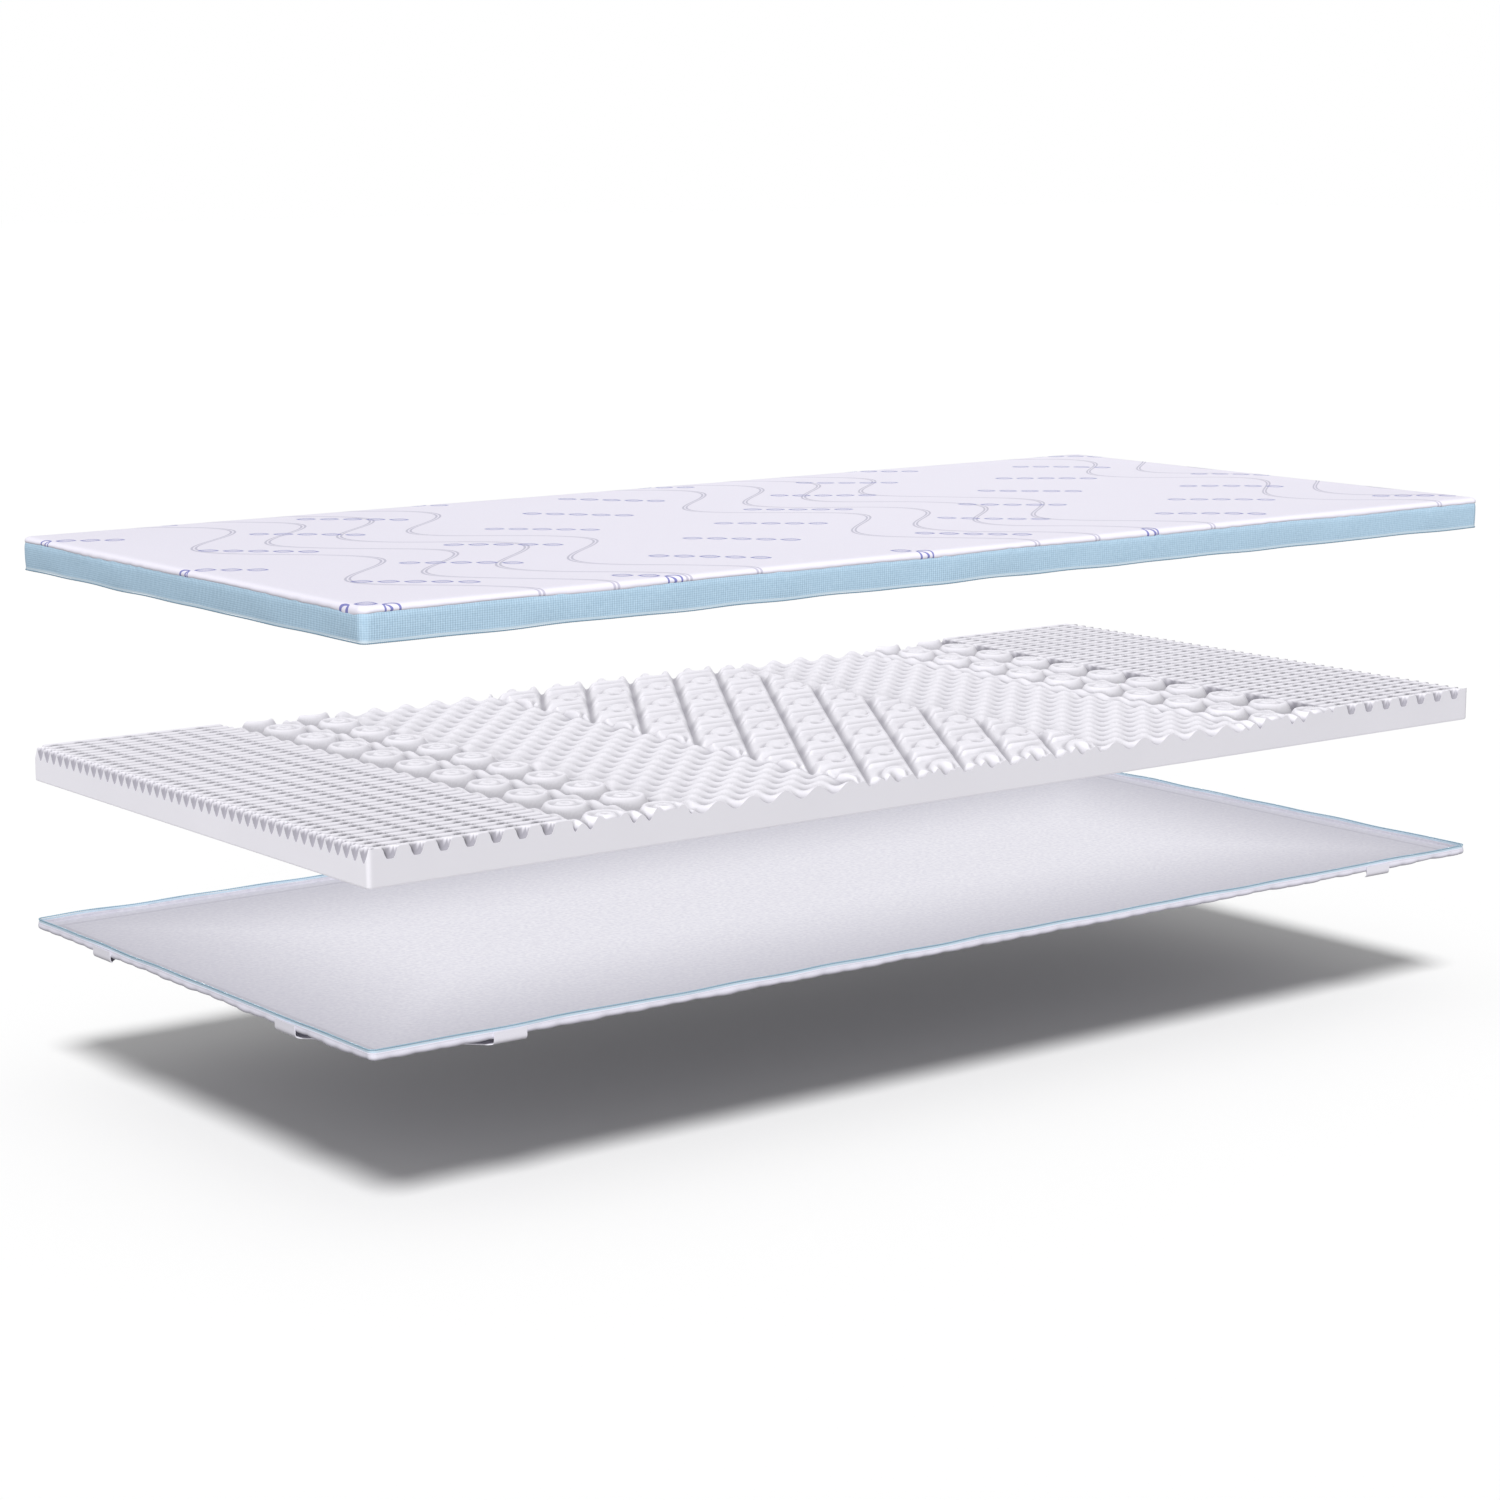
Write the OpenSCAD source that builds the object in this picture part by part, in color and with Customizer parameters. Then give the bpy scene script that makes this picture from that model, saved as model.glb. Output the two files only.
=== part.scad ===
/* [Foam core] */
// Length of the foam core, along X
core_l = 2000; // [1900:10:2200]
// Width of the foam core, along Y
core_w = 900; // [700:10:1400]
// Height of the foam core over its highest ribs
core_h = 50; // [44:1:70]
// Radius of the core's four upright corners
core_corner_r = 5; // [3:0.5:8]

/* [End zones of the core: round wells] */
// Length of each end zone
end_zone_l = 303; // [200:1:340]
// Pitch of the wells along the core
well_pitch_x = 38.8; // [36:0.1:50]
// Pitch of the wells across the core
well_pitch_y = 20.2; // [20.2:0.1:26]
// Distance from the short edge to the first row of wells
well_start = 31.6; // [28:0.1:38]
// Radius of a well at its mouth
well_mouth_r = 9; // [6:0.1:9.4]
// Radius of a well at its floor
well_floor_r = 5; // [3:0.1:5.5]
// Depth of a well
well_depth = 13.6; // [8:0.1:18]
// Radius of the notches along the short edge, at the top
notch_mouth_r = 7; // [4:0.1:8]
// Radius of the notches along the short edge, at their tip
notch_tip_r = 1.5; // [1:0.1:3]
// Depth of the notches along the short edge
notch_depth = 14.5; // [8:0.1:18]

/* [Shoulder zones of the core: round turrets] */
// Length of each shoulder zone
ring_zone_l = 187; // [180:1:200]
// Pitch of the turrets along the core
turret_pitch_x = 92.3; // [88:0.1:98]
// Pitch of the turrets across the core
turret_pitch_y = 90; // [82:0.1:100]
// Distance from the start of the zone to its first row of turrets
turret_start_x = 60.5; // [56:0.1:66]
// Distance from the front edge to the first turrets
turret_start_y = 15; // [10:1:40]
// Radius of a turret at its foot
turret_foot_r = 34; // [32:0.5:34]
// Radius of a turret's raised rim
turret_rim_r = 25; // [22:0.5:28]
// Radius of the groove inside the rim
turret_groove_r = 18; // [16:0.5:20]
// Radius of the button in the middle
turret_button_r = 13; // [9:0.5:14]
// Radius of the dimple in the button
turret_dimple_r = 4; // [2:0.5:6]
// Depth of the valley between turrets
turret_depth = 20; // [12:0.5:22]
// Depth of the groove inside the rim
turret_groove_depth = 7; // [3:0.5:9]
// Depth of the dimple in the button
turret_dimple_depth = 6; // [2:0.5:8]
// Width of the low ridge between turrets, at its foot
ridge_w = 23; // [16:0.5:23]
// Depth of the ridge's saddles below the turrets
ridge_drop = 9; // [5:0.5:12]
// Pitch of the bumps along the ridge
bump_pitch = 45; // [38:1:60]
// Depth of the bumps below the turrets
bump_drop = 3.5; // [2:0.5:4.5]

/* [Lumbar zones of the core: crate foam] */
// Length of each lumbar zone
crate_zone_l = 280; // [240:1:290]
// Pitch of the peaks along the core
crate_pitch_x = 55.3; // [52:0.1:60]
// Pitch of the peaks across the core
crate_pitch_y = 58; // [54:0.5:64]
// Radius of a hollow at its mouth
crate_hollow_r = 18.4; // [14:0.1:18.6]
// Radius of a hollow at its floor
crate_floor_r = 7; // [3:0.5:9]
// Depth of a hollow below the peaks
crate_hollow_depth = 13; // [8:0.5:16]
// Depth of the peaks below the ribs
crate_drop = 4; // [2:0.5:6]

/* [Hip zone of the core: slanted ribs] */
// Pitch of the slanted ribs along the core
rib_pitch_x = 85.3; // [80:0.1:96]
// Pitch of the pattern on a rib, measured across the core
rib_pitch_y = 130; // [124:0.5:150]
// Width of a valley between ribs at its mouth, along X
valley_w = 28; // [16:0.5:30]
// Depth of a valley between ribs
valley_depth = 17.5; // [10:0.5:20]
// Radius of the deep recess on a rib at its mouth
recess_mouth_r = 13; // [9:0.5:14]
// Radius of the deep recess on a rib at its floor
recess_floor_r = 4; // [2:0.5:5]
// Depth of the deep recess
recess_depth = 14; // [8:0.5:18]
// Width of the tongue on a rib
tongue_w = 27; // [22:0.5:29]
// Length of the tongue on a rib
tongue_l = 46; // [40:1:46]
// Width of the groove around a tongue
tongue_groove_w = 5; // [3:0.5:5]
// Depth of the groove around a tongue
tongue_groove_depth = 8; // [4:0.5:10]

/* [Base tray] */
// Ease between the foam core and the fabric round it
fit_ease = 1; // [0.5:0.5:4]
// Thickness of the quilted outer fabric
quilt_skin = 1.2; // [0.8:0.1:2]
// Thickness of the wadding under the core
wadding_floor = 4; // [2:0.5:8]
// Thickness of the wadding in the turned-up rim
wadding_wall = 1.8; // [1.4:0.1:3]
// Thickness of the fleece lining
lining_t = 1; // [0.8:0.1:1.6]
// Height of the turned-up rim over the underside
rim_h = 10.4; // [9.5:0.1:20]
// Drop of the slack corner straps below the underside
strap_drop = 8; // [5:0.5:20]
// Distance from a corner to the near edge of its strap
strap_near = 180; // [80:5:280]
// Width of a strap's end along the edge
strap_end_w = 50; // [30:1:80]
// Thickness of a strap
strap_t = 1.5; // [1:0.1:3]

/* [Zip] */
// Thickness of the zip tapes
tape_t = 0.8; // [0.5:0.1:1.2]
// Width of a zip tape that shows beside the coil
tape_show = 3; // [2.5:0.5:8]
// Thickness of a coil
coil_t = 2.2; // [1.6:0.1:2.4]
// Height of a coil
coil_h = 2; // [1.6:0.1:2.2]
// Gap between a coil and the parting plane
coil_gap = 0.6; // [0.6:0.1:1]
// Length of the break in the zip where it starts and ends
zip_break = 40; // [30:1:80]
// Distance from the right end of the core to the middle of the break
zip_break_inset = 90; // [60:5:300]
// Length of an end stop
stop_l = 4; // [3:0.5:8]
// Length of the slider
slider_l = 12; // [10:0.5:18]
// Thickness of the slider's plates
slider_plate_t = 1.1; // [0.8:0.1:1.1]
// Running clearance in the slider
slider_fit = 0.3; // [0.3:0.05:0.35]
// Thickness of the slider's wedge between the two coils
wedge_t = 0.7; // [0.4:0.1:0.7]
// Radius of the hinge bar of the pull tab
bar_r = 0.8; // [0.6:0.05:1]
// Length of the pull tab
pull_l = 26; // [20:1:40]
// Width of the pull tab
pull_w = 8; // [7:0.5:12]
// Thickness of the pull tab
pull_t = 1.2; // [1:0.1:1.6]
// Width of the slider's arch that holds the pull tab
arch_w = 2; // [1.5:0.1:3]

/* [Cover] */
// Thickness of the mesh border
border_t = 3; // [2.5:0.1:6]
// Outward bulge of the mesh border at half height
border_bulge = 1.5; // [0.5:0.1:3]
// Thickness of the knitted top panel
panel_t = 5; // [3.5:0.5:6]
// Slack between the top panel and the foam core when the cover is zipped on
top_slack = 2.5; // [1:0.5:10]

/* [Layers shown apart] */
// Height of the foam core over its place in the base tray
core_raise = 208.5; // [60:0.5:400]
// Height of the cover over its place on the foam core
cover_raise = 290.5; // [80:0.5:500]
// Gap left under the core in the tray
core_seat_gap = 0.3; // [0.3:0.1:1]

/* [Hidden] */
$fn = 48;

// Overshoot of a cutting shape past the surface that it opens
over = 1;
// Any length longer than the product, for cutting shapes
far = 3 * (core_l + core_w);

// Colours
quilt_colour = "#ECEAF2";
fleece_colour = "#CFCDDC";
wadding_colour = "#F6F5F8";
tape_colour = "#C5D8E6";
coil_colour = "#7E9CB3";
elastic_colour = "#F2F0F5";
metal_colour = "#B9C0C8";
foam_colour = "#EAE8EF";
knit_colour = "#F1EFF7";
mesh_colour = "#A9C5DA";

// Closed outline that the fabric follows round the core
lining_l = core_l + 2 * fit_ease;
lining_w = core_w + 2 * fit_ease;
lining_r = core_corner_r + fit_ease;

// Heights in the base, from the lowest strap up
underside_z = strap_drop;
wadding_z = underside_z + quilt_skin;
lining_z = wadding_z + wadding_floor;
floor_z = lining_z + lining_t;
rim_z = underside_z + rim_h;
coil_z = rim_z + tape_show;
seam_z = coil_z + coil_h + coil_gap;
rim_t = lining_t + wadding_wall + quilt_skin;
rim_bend_r = rim_t;

// Middle of the zip tapes, outward from the inner face of the fabric
zip_y = rim_t / 2;

// Heights in the cover, from the parting plane up
cover_coil_z = coil_gap;
cover_tape_z = cover_coil_z + coil_h;
cover_border_z = cover_tape_z + tape_show;
core_seat_z = floor_z + core_seat_gap;
ceiling_z = core_seat_z + core_h + top_slack - seam_z;

// Heights of the raised layers
core_z = core_seat_z + core_raise;
cover_z = seam_z + core_raise + cover_raise;

// Centre of the break in the zip, on the long back side
zip_break_x = core_l / 2 - zip_break_inset;

// Small steps of a turret's section: rounded rim, ring groove, button and dimple
turret_rim_w = 4;
turret_rim_fall = 5;
turret_top_drop = 0.5;
turret_button_drop = 1;
turret_groove_slope = 2;
turret_dimple_floor_r = 1;

// Half width of a ridge's flat crest
ridge_crest = 3;

// Details of the slider and its pull tab
slider_skirt = 1.5;
slider_corner_r = 1.5;
flange_t = 1;
arch_leg = 1.2;
arch_top = 1;
stop_clearance = 2;
pull_window_ease = 3;
pull_eye_r = 1.2;

// Foam zones along the core
ring_x = end_zone_l;
crate_x = ring_x + ring_zone_l;
rib_x = crate_x + crate_zone_l;
rib_zone_l = core_l - 2 * rib_x;

// ---------------------------------------------------------------- shared shapes

// Rectangle with round corners, centred
module round_rect(l, w, r) {
    square([l - 2 * r, w], center = true);
    square([l, w - 2 * r], center = true);
    for (x = [-1, 1])
        for (y = [-1, 1])
            translate([x * (l / 2 - r), y * (w / 2 - r)]) circle(r);
}

// Plate with round corners, standing on z
module plate(l, w, r, z, h) {
    translate([0, 0, z])
        linear_extrude(h)
            round_rect(l, w, r);
}

// Straight length of a profile whose X points outward: 0 is the long back side
module straight_run(length, reach) {
    translate([-length / 2, reach, 0])
        rotate([90, 0, 90])
            linear_extrude(length)
                children();
}

// Profile carried round a rectangle with round corners; its X points outward from the rectangle
module carried_round(l, w, r) {
    for (side = [0, 180]) {
        rotate([0, 0, side]) straight_run(l - 2 * r, w / 2) children();
        rotate([0, 0, side + 90]) straight_run(w - 2 * r, l / 2) children();
    }
    for (corner = [0 : 3])
        corner_place(corner, l / 2 - r, w / 2 - r)
            rotate([0, 0, 90 * corner])
                rotate_extrude(angle = 90)
                    translate([r, 0]) children();
}

// Centre of one of the four corner bends, counted from the back right one
module corner_place(corner, x, y) {
    right = corner == 0 || corner == 3 ? 1 : -1;
    back = corner < 2 ? 1 : -1;
    translate([right * x, back * y, 0]) children();
}

// Profile carried round the fabric's inner outline
module fabric_run() {
    carried_round(lining_l, lining_w, lining_r) children();
}

// ---------------------------------------------------------------- foam core

// Round well that narrows downward, cut from the core's top
module well(x, y, mouth_r, floor_r, depth) {
    slope = (mouth_r - floor_r) / depth;
    translate([x, y, core_h - depth])
        cylinder(r1 = floor_r, r2 = mouth_r + slope * over, h = depth + over, $fn = 24);
}

// Wells and edge notches of the end zone at x = 0
module end_zone_cuts() {
    columns = floor((end_zone_l - well_start) / well_pitch_x - 0.05);
    rows = floor(core_w / well_pitch_y);
    for (i = [0 : columns])
        for (j = [0 : rows])
            well(well_start + i * well_pitch_x, j * well_pitch_y, well_mouth_r, well_floor_r, well_depth);
    for (j = [0 : rows - 1])
        well(0, (j + 0.5) * well_pitch_y, notch_mouth_r, notch_tip_r, notch_depth);
}

// Half section of one turret, from its axis outward
module turret_section() {
    valley = core_h - turret_depth;
    groove = core_h - turret_groove_depth;
    button = core_h - turret_button_drop;
    polygon([
        [0, valley - over],
        [turret_foot_r, valley - over],
        [turret_foot_r, valley],
        [turret_rim_r + turret_rim_w, core_h - turret_rim_fall],
        [turret_rim_r, core_h - turret_top_drop],
        [turret_groove_r + turret_groove_slope, groove],
        [turret_groove_r - turret_groove_slope / 2, groove],
        [turret_button_r, button],
        [turret_dimple_r + turret_dimple_floor_r, button],
        [turret_dimple_floor_r, core_h - turret_dimple_depth],
        [0, core_h - turret_dimple_depth]
    ]);
}

// Low ridge with bumps along its crest that runs across the core beside the turrets
module ridge(x) {
    valley = core_h - turret_depth - over;
    bump = core_h - bump_drop;
    saddle = core_h - ridge_drop;
    bumps = ceil(core_w / bump_pitch) + 1;
    crest = [
        for (k = [0 : bumps])
            for (p = [[-0.14, bump], [0.14, bump], [0.42, saddle], [0.58, saddle]])
                [(k - 1 + p[0]) * bump_pitch + turret_start_y, p[1]]
    ];
    translate([x, 0, 0])
        intersection() {
            translate([0, core_w + over, 0])
                rotate([90, 0, 0])
                    linear_extrude(core_w + 2 * over)
                        polygon([
                            [-ridge_w / 2, valley],
                            [ridge_w / 2, valley],
                            [ridge_crest, core_h],
                            [-ridge_crest, core_h]
                        ]);
            translate([-ridge_w, 0, 0])
                rotate([90, 0, 90])
                    linear_extrude(2 * ridge_w)
                        polygon(concat(
                            [[-2 * bump_pitch, valley - over]],
                            crest,
                            [[core_w + 2 * bump_pitch, valley - over]]
                        ));
        }
}

// Everything cut away round the turrets of a shoulder zone that starts at x = 0
module ring_zone_cuts() {
    ridge_x = turret_start_x - turret_pitch_x / 2;
    difference() {
        translate([-over, -over, core_h - turret_depth])
            cube([ring_zone_l + 2 * over, core_w + 2 * over, turret_depth + over]);
        for (x = [turret_start_x, turret_start_x + turret_pitch_x])
            for (y = [turret_start_y : turret_pitch_y : core_w + turret_foot_r - over])
                translate([x, y, 0]) rotate_extrude($fn = 48) turret_section();
        ridge(ridge_x);
        ridge(ridge_x + turret_pitch_x);
    }
}

// Hollows between the peaks of a lumbar zone that starts at x = 0
module crate_zone_cuts() {
    columns = floor(2 * crate_zone_l / crate_pitch_x);
    rows = floor(core_w / crate_pitch_y + 0.5);
    translate([-over, -over, core_h - crate_drop])
        cube([crate_zone_l + 2 * over, core_w + 2 * over, crate_drop + over]);
    translate([0, 0, -crate_drop])
        for (i = [1 : columns - 1])
            for (j = [0 : rows])
                well(
                    i * crate_pitch_x / 2, (j + (i % 2) / 2) * crate_pitch_y,
                    crate_hollow_r, crate_floor_r, crate_hollow_depth
                );
}

// Outline with half-round ends, along Y
module stadium(width, length) {
    square([width, length - width], center = true);
    for (end = [-1, 1])
        translate([0, end * (length - width) / 2]) circle(width / 2);
}

// Slanted valleys, recesses and grooved tongues of the hip zone, which starts at x = 0
module rib_zone_cuts() {
    slant = atan(rib_pitch_x / rib_pitch_y);
    lean = core_w * rib_pitch_x / rib_pitch_y;
    first = -ceil(lean / rib_pitch_x) - 1;
    last = ceil(rib_zone_l / rib_pitch_x) + 1;
    valley_half = valley_w / 2 * cos(slant);
    valley_start = 19;
    intersection() {
        translate([0, -over, core_h - valley_depth - over])
            cube([rib_zone_l, core_w + 2 * over, valley_depth + 2 * over]);
        for (k = [first : last])
            translate([valley_start + k * rib_pitch_x, 0, core_h])
                rotate([0, 0, -slant])
                    valley(valley_half);
    }
    for (k = [first : last])
        for (j = [0 : ceil(core_w / rib_pitch_y)])
            rib_cell(valley_start + k * rib_pitch_x + j * rib_pitch_x, j * rib_pitch_y, slant);
}

// One valley along Y with its mouth level with z = 0
module valley(half) {
    rise = over / valley_depth;
    translate([0, core_w * 2, 0])
        rotate([90, 0, 0])
            linear_extrude(core_w * 3)
                polygon([[0, -valley_depth], [half * (1 + rise), over], [-half * (1 + rise), over]]);
}

// Recess and tongue of one pattern cell on a rib, left out where it would leave the zone
module rib_cell(x, y, slant) {
    recess_dx = 0.52 * rib_pitch_x;
    recess_dy = -0.08 * rib_pitch_y;
    tongue_dx = recess_dx + 0.18 * rib_pitch_x;
    tongue_dy = 0.22 * rib_pitch_y;
    if (x + recess_dx > recess_mouth_r + over && x + recess_dx < rib_zone_l - recess_mouth_r - over)
        well(x + recess_dx, y + recess_dy, recess_mouth_r, recess_floor_r, recess_depth);
    if (x + tongue_dx > tongue_w && x + tongue_dx < rib_zone_l - tongue_w)
        translate([x + tongue_dx, y + tongue_dy, core_h - tongue_groove_depth])
            rotate([0, 0, -slant])
                linear_extrude(tongue_groove_depth + over)
                    difference() {
                        stadium(tongue_w + 2 * tongue_groove_w, tongue_l + 2 * tongue_groove_w);
                        stadium(tongue_w, tongue_l);
                    }
}

module foam_core() {
    color(foam_colour)
        translate([-core_l / 2, -core_w / 2, core_z])
            difference() {
                translate([core_l / 2, core_w / 2, 0]) plate(core_l, core_w, core_corner_r, 0, core_h);
                end_zone_cuts();
                translate([ring_x, 0, 0]) ring_zone_cuts();
                translate([crate_x, 0, 0]) crate_zone_cuts();
                translate([rib_x, 0, 0]) rib_zone_cuts();
                translate([core_l - rib_x, 0, 0]) crate_zone_cuts();
                translate([core_l - crate_x, 0, 0]) ring_zone_cuts();
                translate([core_l, 0, 0]) mirror([1, 0, 0]) end_zone_cuts();
            }
}

// ---------------------------------------------------------------- base tray

// Quarter bend under a rim of thickness t, with the wall standing on it
module rim_section(t) {
    bend_z = underside_z + rim_bend_r;
    translate([0, bend_z]) square([t, rim_z - bend_z]);
    translate([0, bend_z])
        intersection() {
            circle(t);
            translate([0, -t]) square([t, t]);
        }
}

module base_underside() {
    color(quilt_colour) {
        plate(lining_l, lining_w, lining_r, underside_z, quilt_skin);
        fabric_run() difference() {
            rim_section(rim_t);
            rim_section(rim_t - quilt_skin);
        }
    }
}

module base_wadding() {
    color(wadding_colour) {
        plate(lining_l, lining_w, lining_r, wadding_z, wadding_floor);
        fabric_run() difference() {
            rim_section(rim_t - quilt_skin);
            translate([0, lining_z]) square([lining_t, rim_h]);
        }
    }
}

module base_lining() {
    color(fleece_colour) {
        plate(lining_l, lining_w, lining_r, lining_z, lining_t);
        fabric_run() translate([0, lining_z]) square([lining_t, rim_z - lining_z]);
    }
}

// Corner strap: a slack band across the corner, with its ends sewn up the rim
module strap(right, back) {
    edge_x = lining_l / 2 + rim_t;
    edge_y = lining_w / 2 + rim_t;
    far_end = strap_near + strap_end_w;
    color(elastic_colour)
        mirror([right > 0 ? 1 : 0, 0, 0])
            mirror([0, back > 0 ? 1 : 0, 0])
                translate([-edge_x, -edge_y, 0]) {
                    linear_extrude(strap_t)
                        polygon([
                            [strap_near, -strap_t],
                            [far_end, -strap_t],
                            [-strap_t, far_end],
                            [-strap_t, strap_near]
                        ]);
                    translate([strap_near, -strap_t, 0]) cube([strap_end_w, strap_t, rim_z]);
                    translate([-strap_t, strap_near, 0]) cube([strap_t, strap_end_w, rim_z]);
                }
}

module strap_front_left() { strap(-1, -1); }
module strap_front_right() { strap(1, -1); }
module strap_back_left() { strap(-1, 1); }
module strap_back_right() { strap(1, 1); }

// ---------------------------------------------------------------- zip

// Section of a zip tape, standing on z
module tape_section(z) {
    translate([zip_y - tape_t / 2, z]) square([tape_t, tape_show]);
}

// Section of a coil, flattened above and below, standing on z
module coil_section(z) {
    round_r = coil_t / 2;
    translate([zip_y, z + coil_h / 2])
        intersection() {
            circle(round_r);
            square([coil_t, coil_h], center = true);
        }
}

// Space where the zip is interrupted at the back
module zip_break_space(length) {
    translate([zip_break_x - length / 2, lining_w / 2 - core_corner_r, -far / 2])
        cube([length, 4 * core_corner_r, far]);
}

// Profile carried round, interrupted at the zip's two ends
module zip_run(gap) {
    difference() {
        fabric_run() children();
        zip_break_space(gap);
    }
}

// Pair of stops that close the two ends of a coil standing on z
module end_stops(z) {
    for (side = [-1, 1])
        translate([
            zip_break_x + side * (zip_break / 2 - stop_l / 2),
            lining_w / 2 + zip_y,
            z + coil_h / 2
        ])
            cube([stop_l, coil_t, coil_h], center = true);
}

module base_zip_tape() {
    color(tape_colour) fabric_run() tape_section(rim_z);
}

module base_zip_coil() {
    color(coil_colour) zip_run(zip_break) coil_section(coil_z);
}

module base_zip_stops() {
    color(metal_colour) end_stops(coil_z);
}

// Slider, drawn round its own centre on the parting plane, with X along the zip
module zip_slider() {
    plate_y = coil_t / 2 + slider_fit;
    half_h = coil_gap + coil_h + slider_skirt;
    flange_in = coil_t / 2 - tape_t / 2;
    outer_y = plate_y + slider_plate_t;
    arch_y = bar_y() + bar_r + slider_fit;
    arch_h = arch_y + arch_top - outer_y;
    color(metal_colour)
        translate([slider_x(), lining_w / 2 + zip_y, seam_z]) {
            for (side = [-1, 1]) {
                slider_plate(side * (plate_y + slider_plate_t / 2), half_h);
                // Flange that hooks under the base coil
                translate([0, side * (plate_y - flange_in / 2), -half_h + flange_t / 2])
                    cube([slider_l - 2 * slider_corner_r, flange_in, flange_t], center = true);
            }
            // Wedge that parts the two coils, at the leading end
            translate([-slider_l / 2, -plate_y, -wedge_t / 2])
                cube([slider_l / 4, 2 * plate_y, wedge_t]);
            // Arch for the pull tab
            for (end = [-1, 1])
                translate([end * (slider_l / 4), outer_y + arch_h / 2, 0])
                    cube([arch_leg, arch_h, arch_w], center = true);
            translate([0, arch_y + arch_top / 2, 0])
                cube([slider_l / 2 + arch_leg, arch_top, arch_w], center = true);
        }
}

// One plate of the slider, with its middle at y
module slider_plate(y, half_h) {
    translate([0, y + slider_plate_t / 2, 0])
        rotate([90, 0, 0])
            linear_extrude(slider_plate_t)
                round_rect(slider_l, 2 * half_h, slider_corner_r);
}

// Place of the slider along the zip: clear of the end stops
function slider_x() = zip_break_x - zip_break / 2 - slider_l / 2 - stop_clearance;

// Distance of the pull tab's hinge bar from the middle of the zip
function bar_y() = coil_t / 2 + slider_fit + slider_plate_t + slider_fit + bar_r;

// Outline of the pull tab from its hinge bar to its round end, with a window round the slider's arch
module pull_outline() {
    window_w = arch_w + 4 * slider_fit;
    window_l = slider_l / 2 + pull_window_ease;
    end_x = pull_l - pull_w / 2;
    difference() {
        union() {
            translate([0, -pull_w / 2]) square([end_x, pull_w]);
            translate([end_x, 0]) circle(pull_w / 2);
        }
        translate([-over, -window_w / 2]) square([window_l + over, window_w]);
        translate([end_x, 0]) circle(pull_eye_r);
    }
}

// Pull tab lying back along the zip
module zip_pull() {
    color(metal_colour)
        translate([slider_x(), lining_w / 2 + zip_y + bar_y(), seam_z]) {
            cylinder(r = bar_r, h = pull_w, center = true);
            translate([0, pull_t / 2, 0])
                rotate([90, 0, 0])
                    linear_extrude(pull_t)
                        pull_outline();
        }
}

// ---------------------------------------------------------------- cover

// Section of the mesh border: upright inside, bulging outside
module border_section() {
    h = ceiling_z - cover_border_z;
    bow_r = (pow(h / 2, 2) + pow(border_bulge, 2)) / (2 * border_bulge);
    translate([0, cover_border_z]) {
        square([border_t, h]);
        intersection() {
            translate([border_t + border_bulge - bow_r, h / 2]) circle(bow_r, $fn = 720);
            square([border_t + border_bulge, h]);
        }
    }
}

module cover_border() {
    color(mesh_colour) translate([0, 0, cover_z]) fabric_run() border_section();
}

module cover_top_panel() {
    inset = panel_t - border_t;
    color(knit_colour)
        translate([0, 0, cover_z]) {
            plate(lining_l - 2 * inset, lining_w - 2 * inset, lining_r - inset, ceiling_z, panel_t);
            fabric_run()
                translate([-inset, ceiling_z])
                    intersection() {
                        circle(panel_t);
                        square([panel_t, panel_t]);
                    }
        }
}

module cover_zip_tape() {
    color(tape_colour) translate([0, 0, cover_z]) fabric_run() tape_section(cover_tape_z);
}

module cover_zip_coil() {
    color(coil_colour) translate([0, 0, cover_z]) zip_run(zip_break) coil_section(cover_coil_z);
}

module cover_zip_stops() {
    color(metal_colour) translate([0, 0, cover_z]) end_stops(cover_coil_z);
}

base_underside();
base_wadding();
base_lining();
base_zip_tape();
base_zip_coil();
base_zip_stops();
strap_front_left();
strap_front_right();
strap_back_left();
strap_back_right();
zip_slider();
zip_pull();
foam_core();
cover_top_panel();
cover_border();
cover_zip_tape();
cover_zip_coil();
cover_zip_stops();
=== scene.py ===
# %% [markdown]
# # A memory foam mattress topper, shown in layers
# The topper is three soft layers: a zip-on cover, a block of profiled foam and a quilted base tray. The
# frame brings them as plain solids, and we make foam and fabrics round those in mesh code. All is in metres
# and in the frame's own axes: X along the topper, Y across it, Z up.

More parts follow.
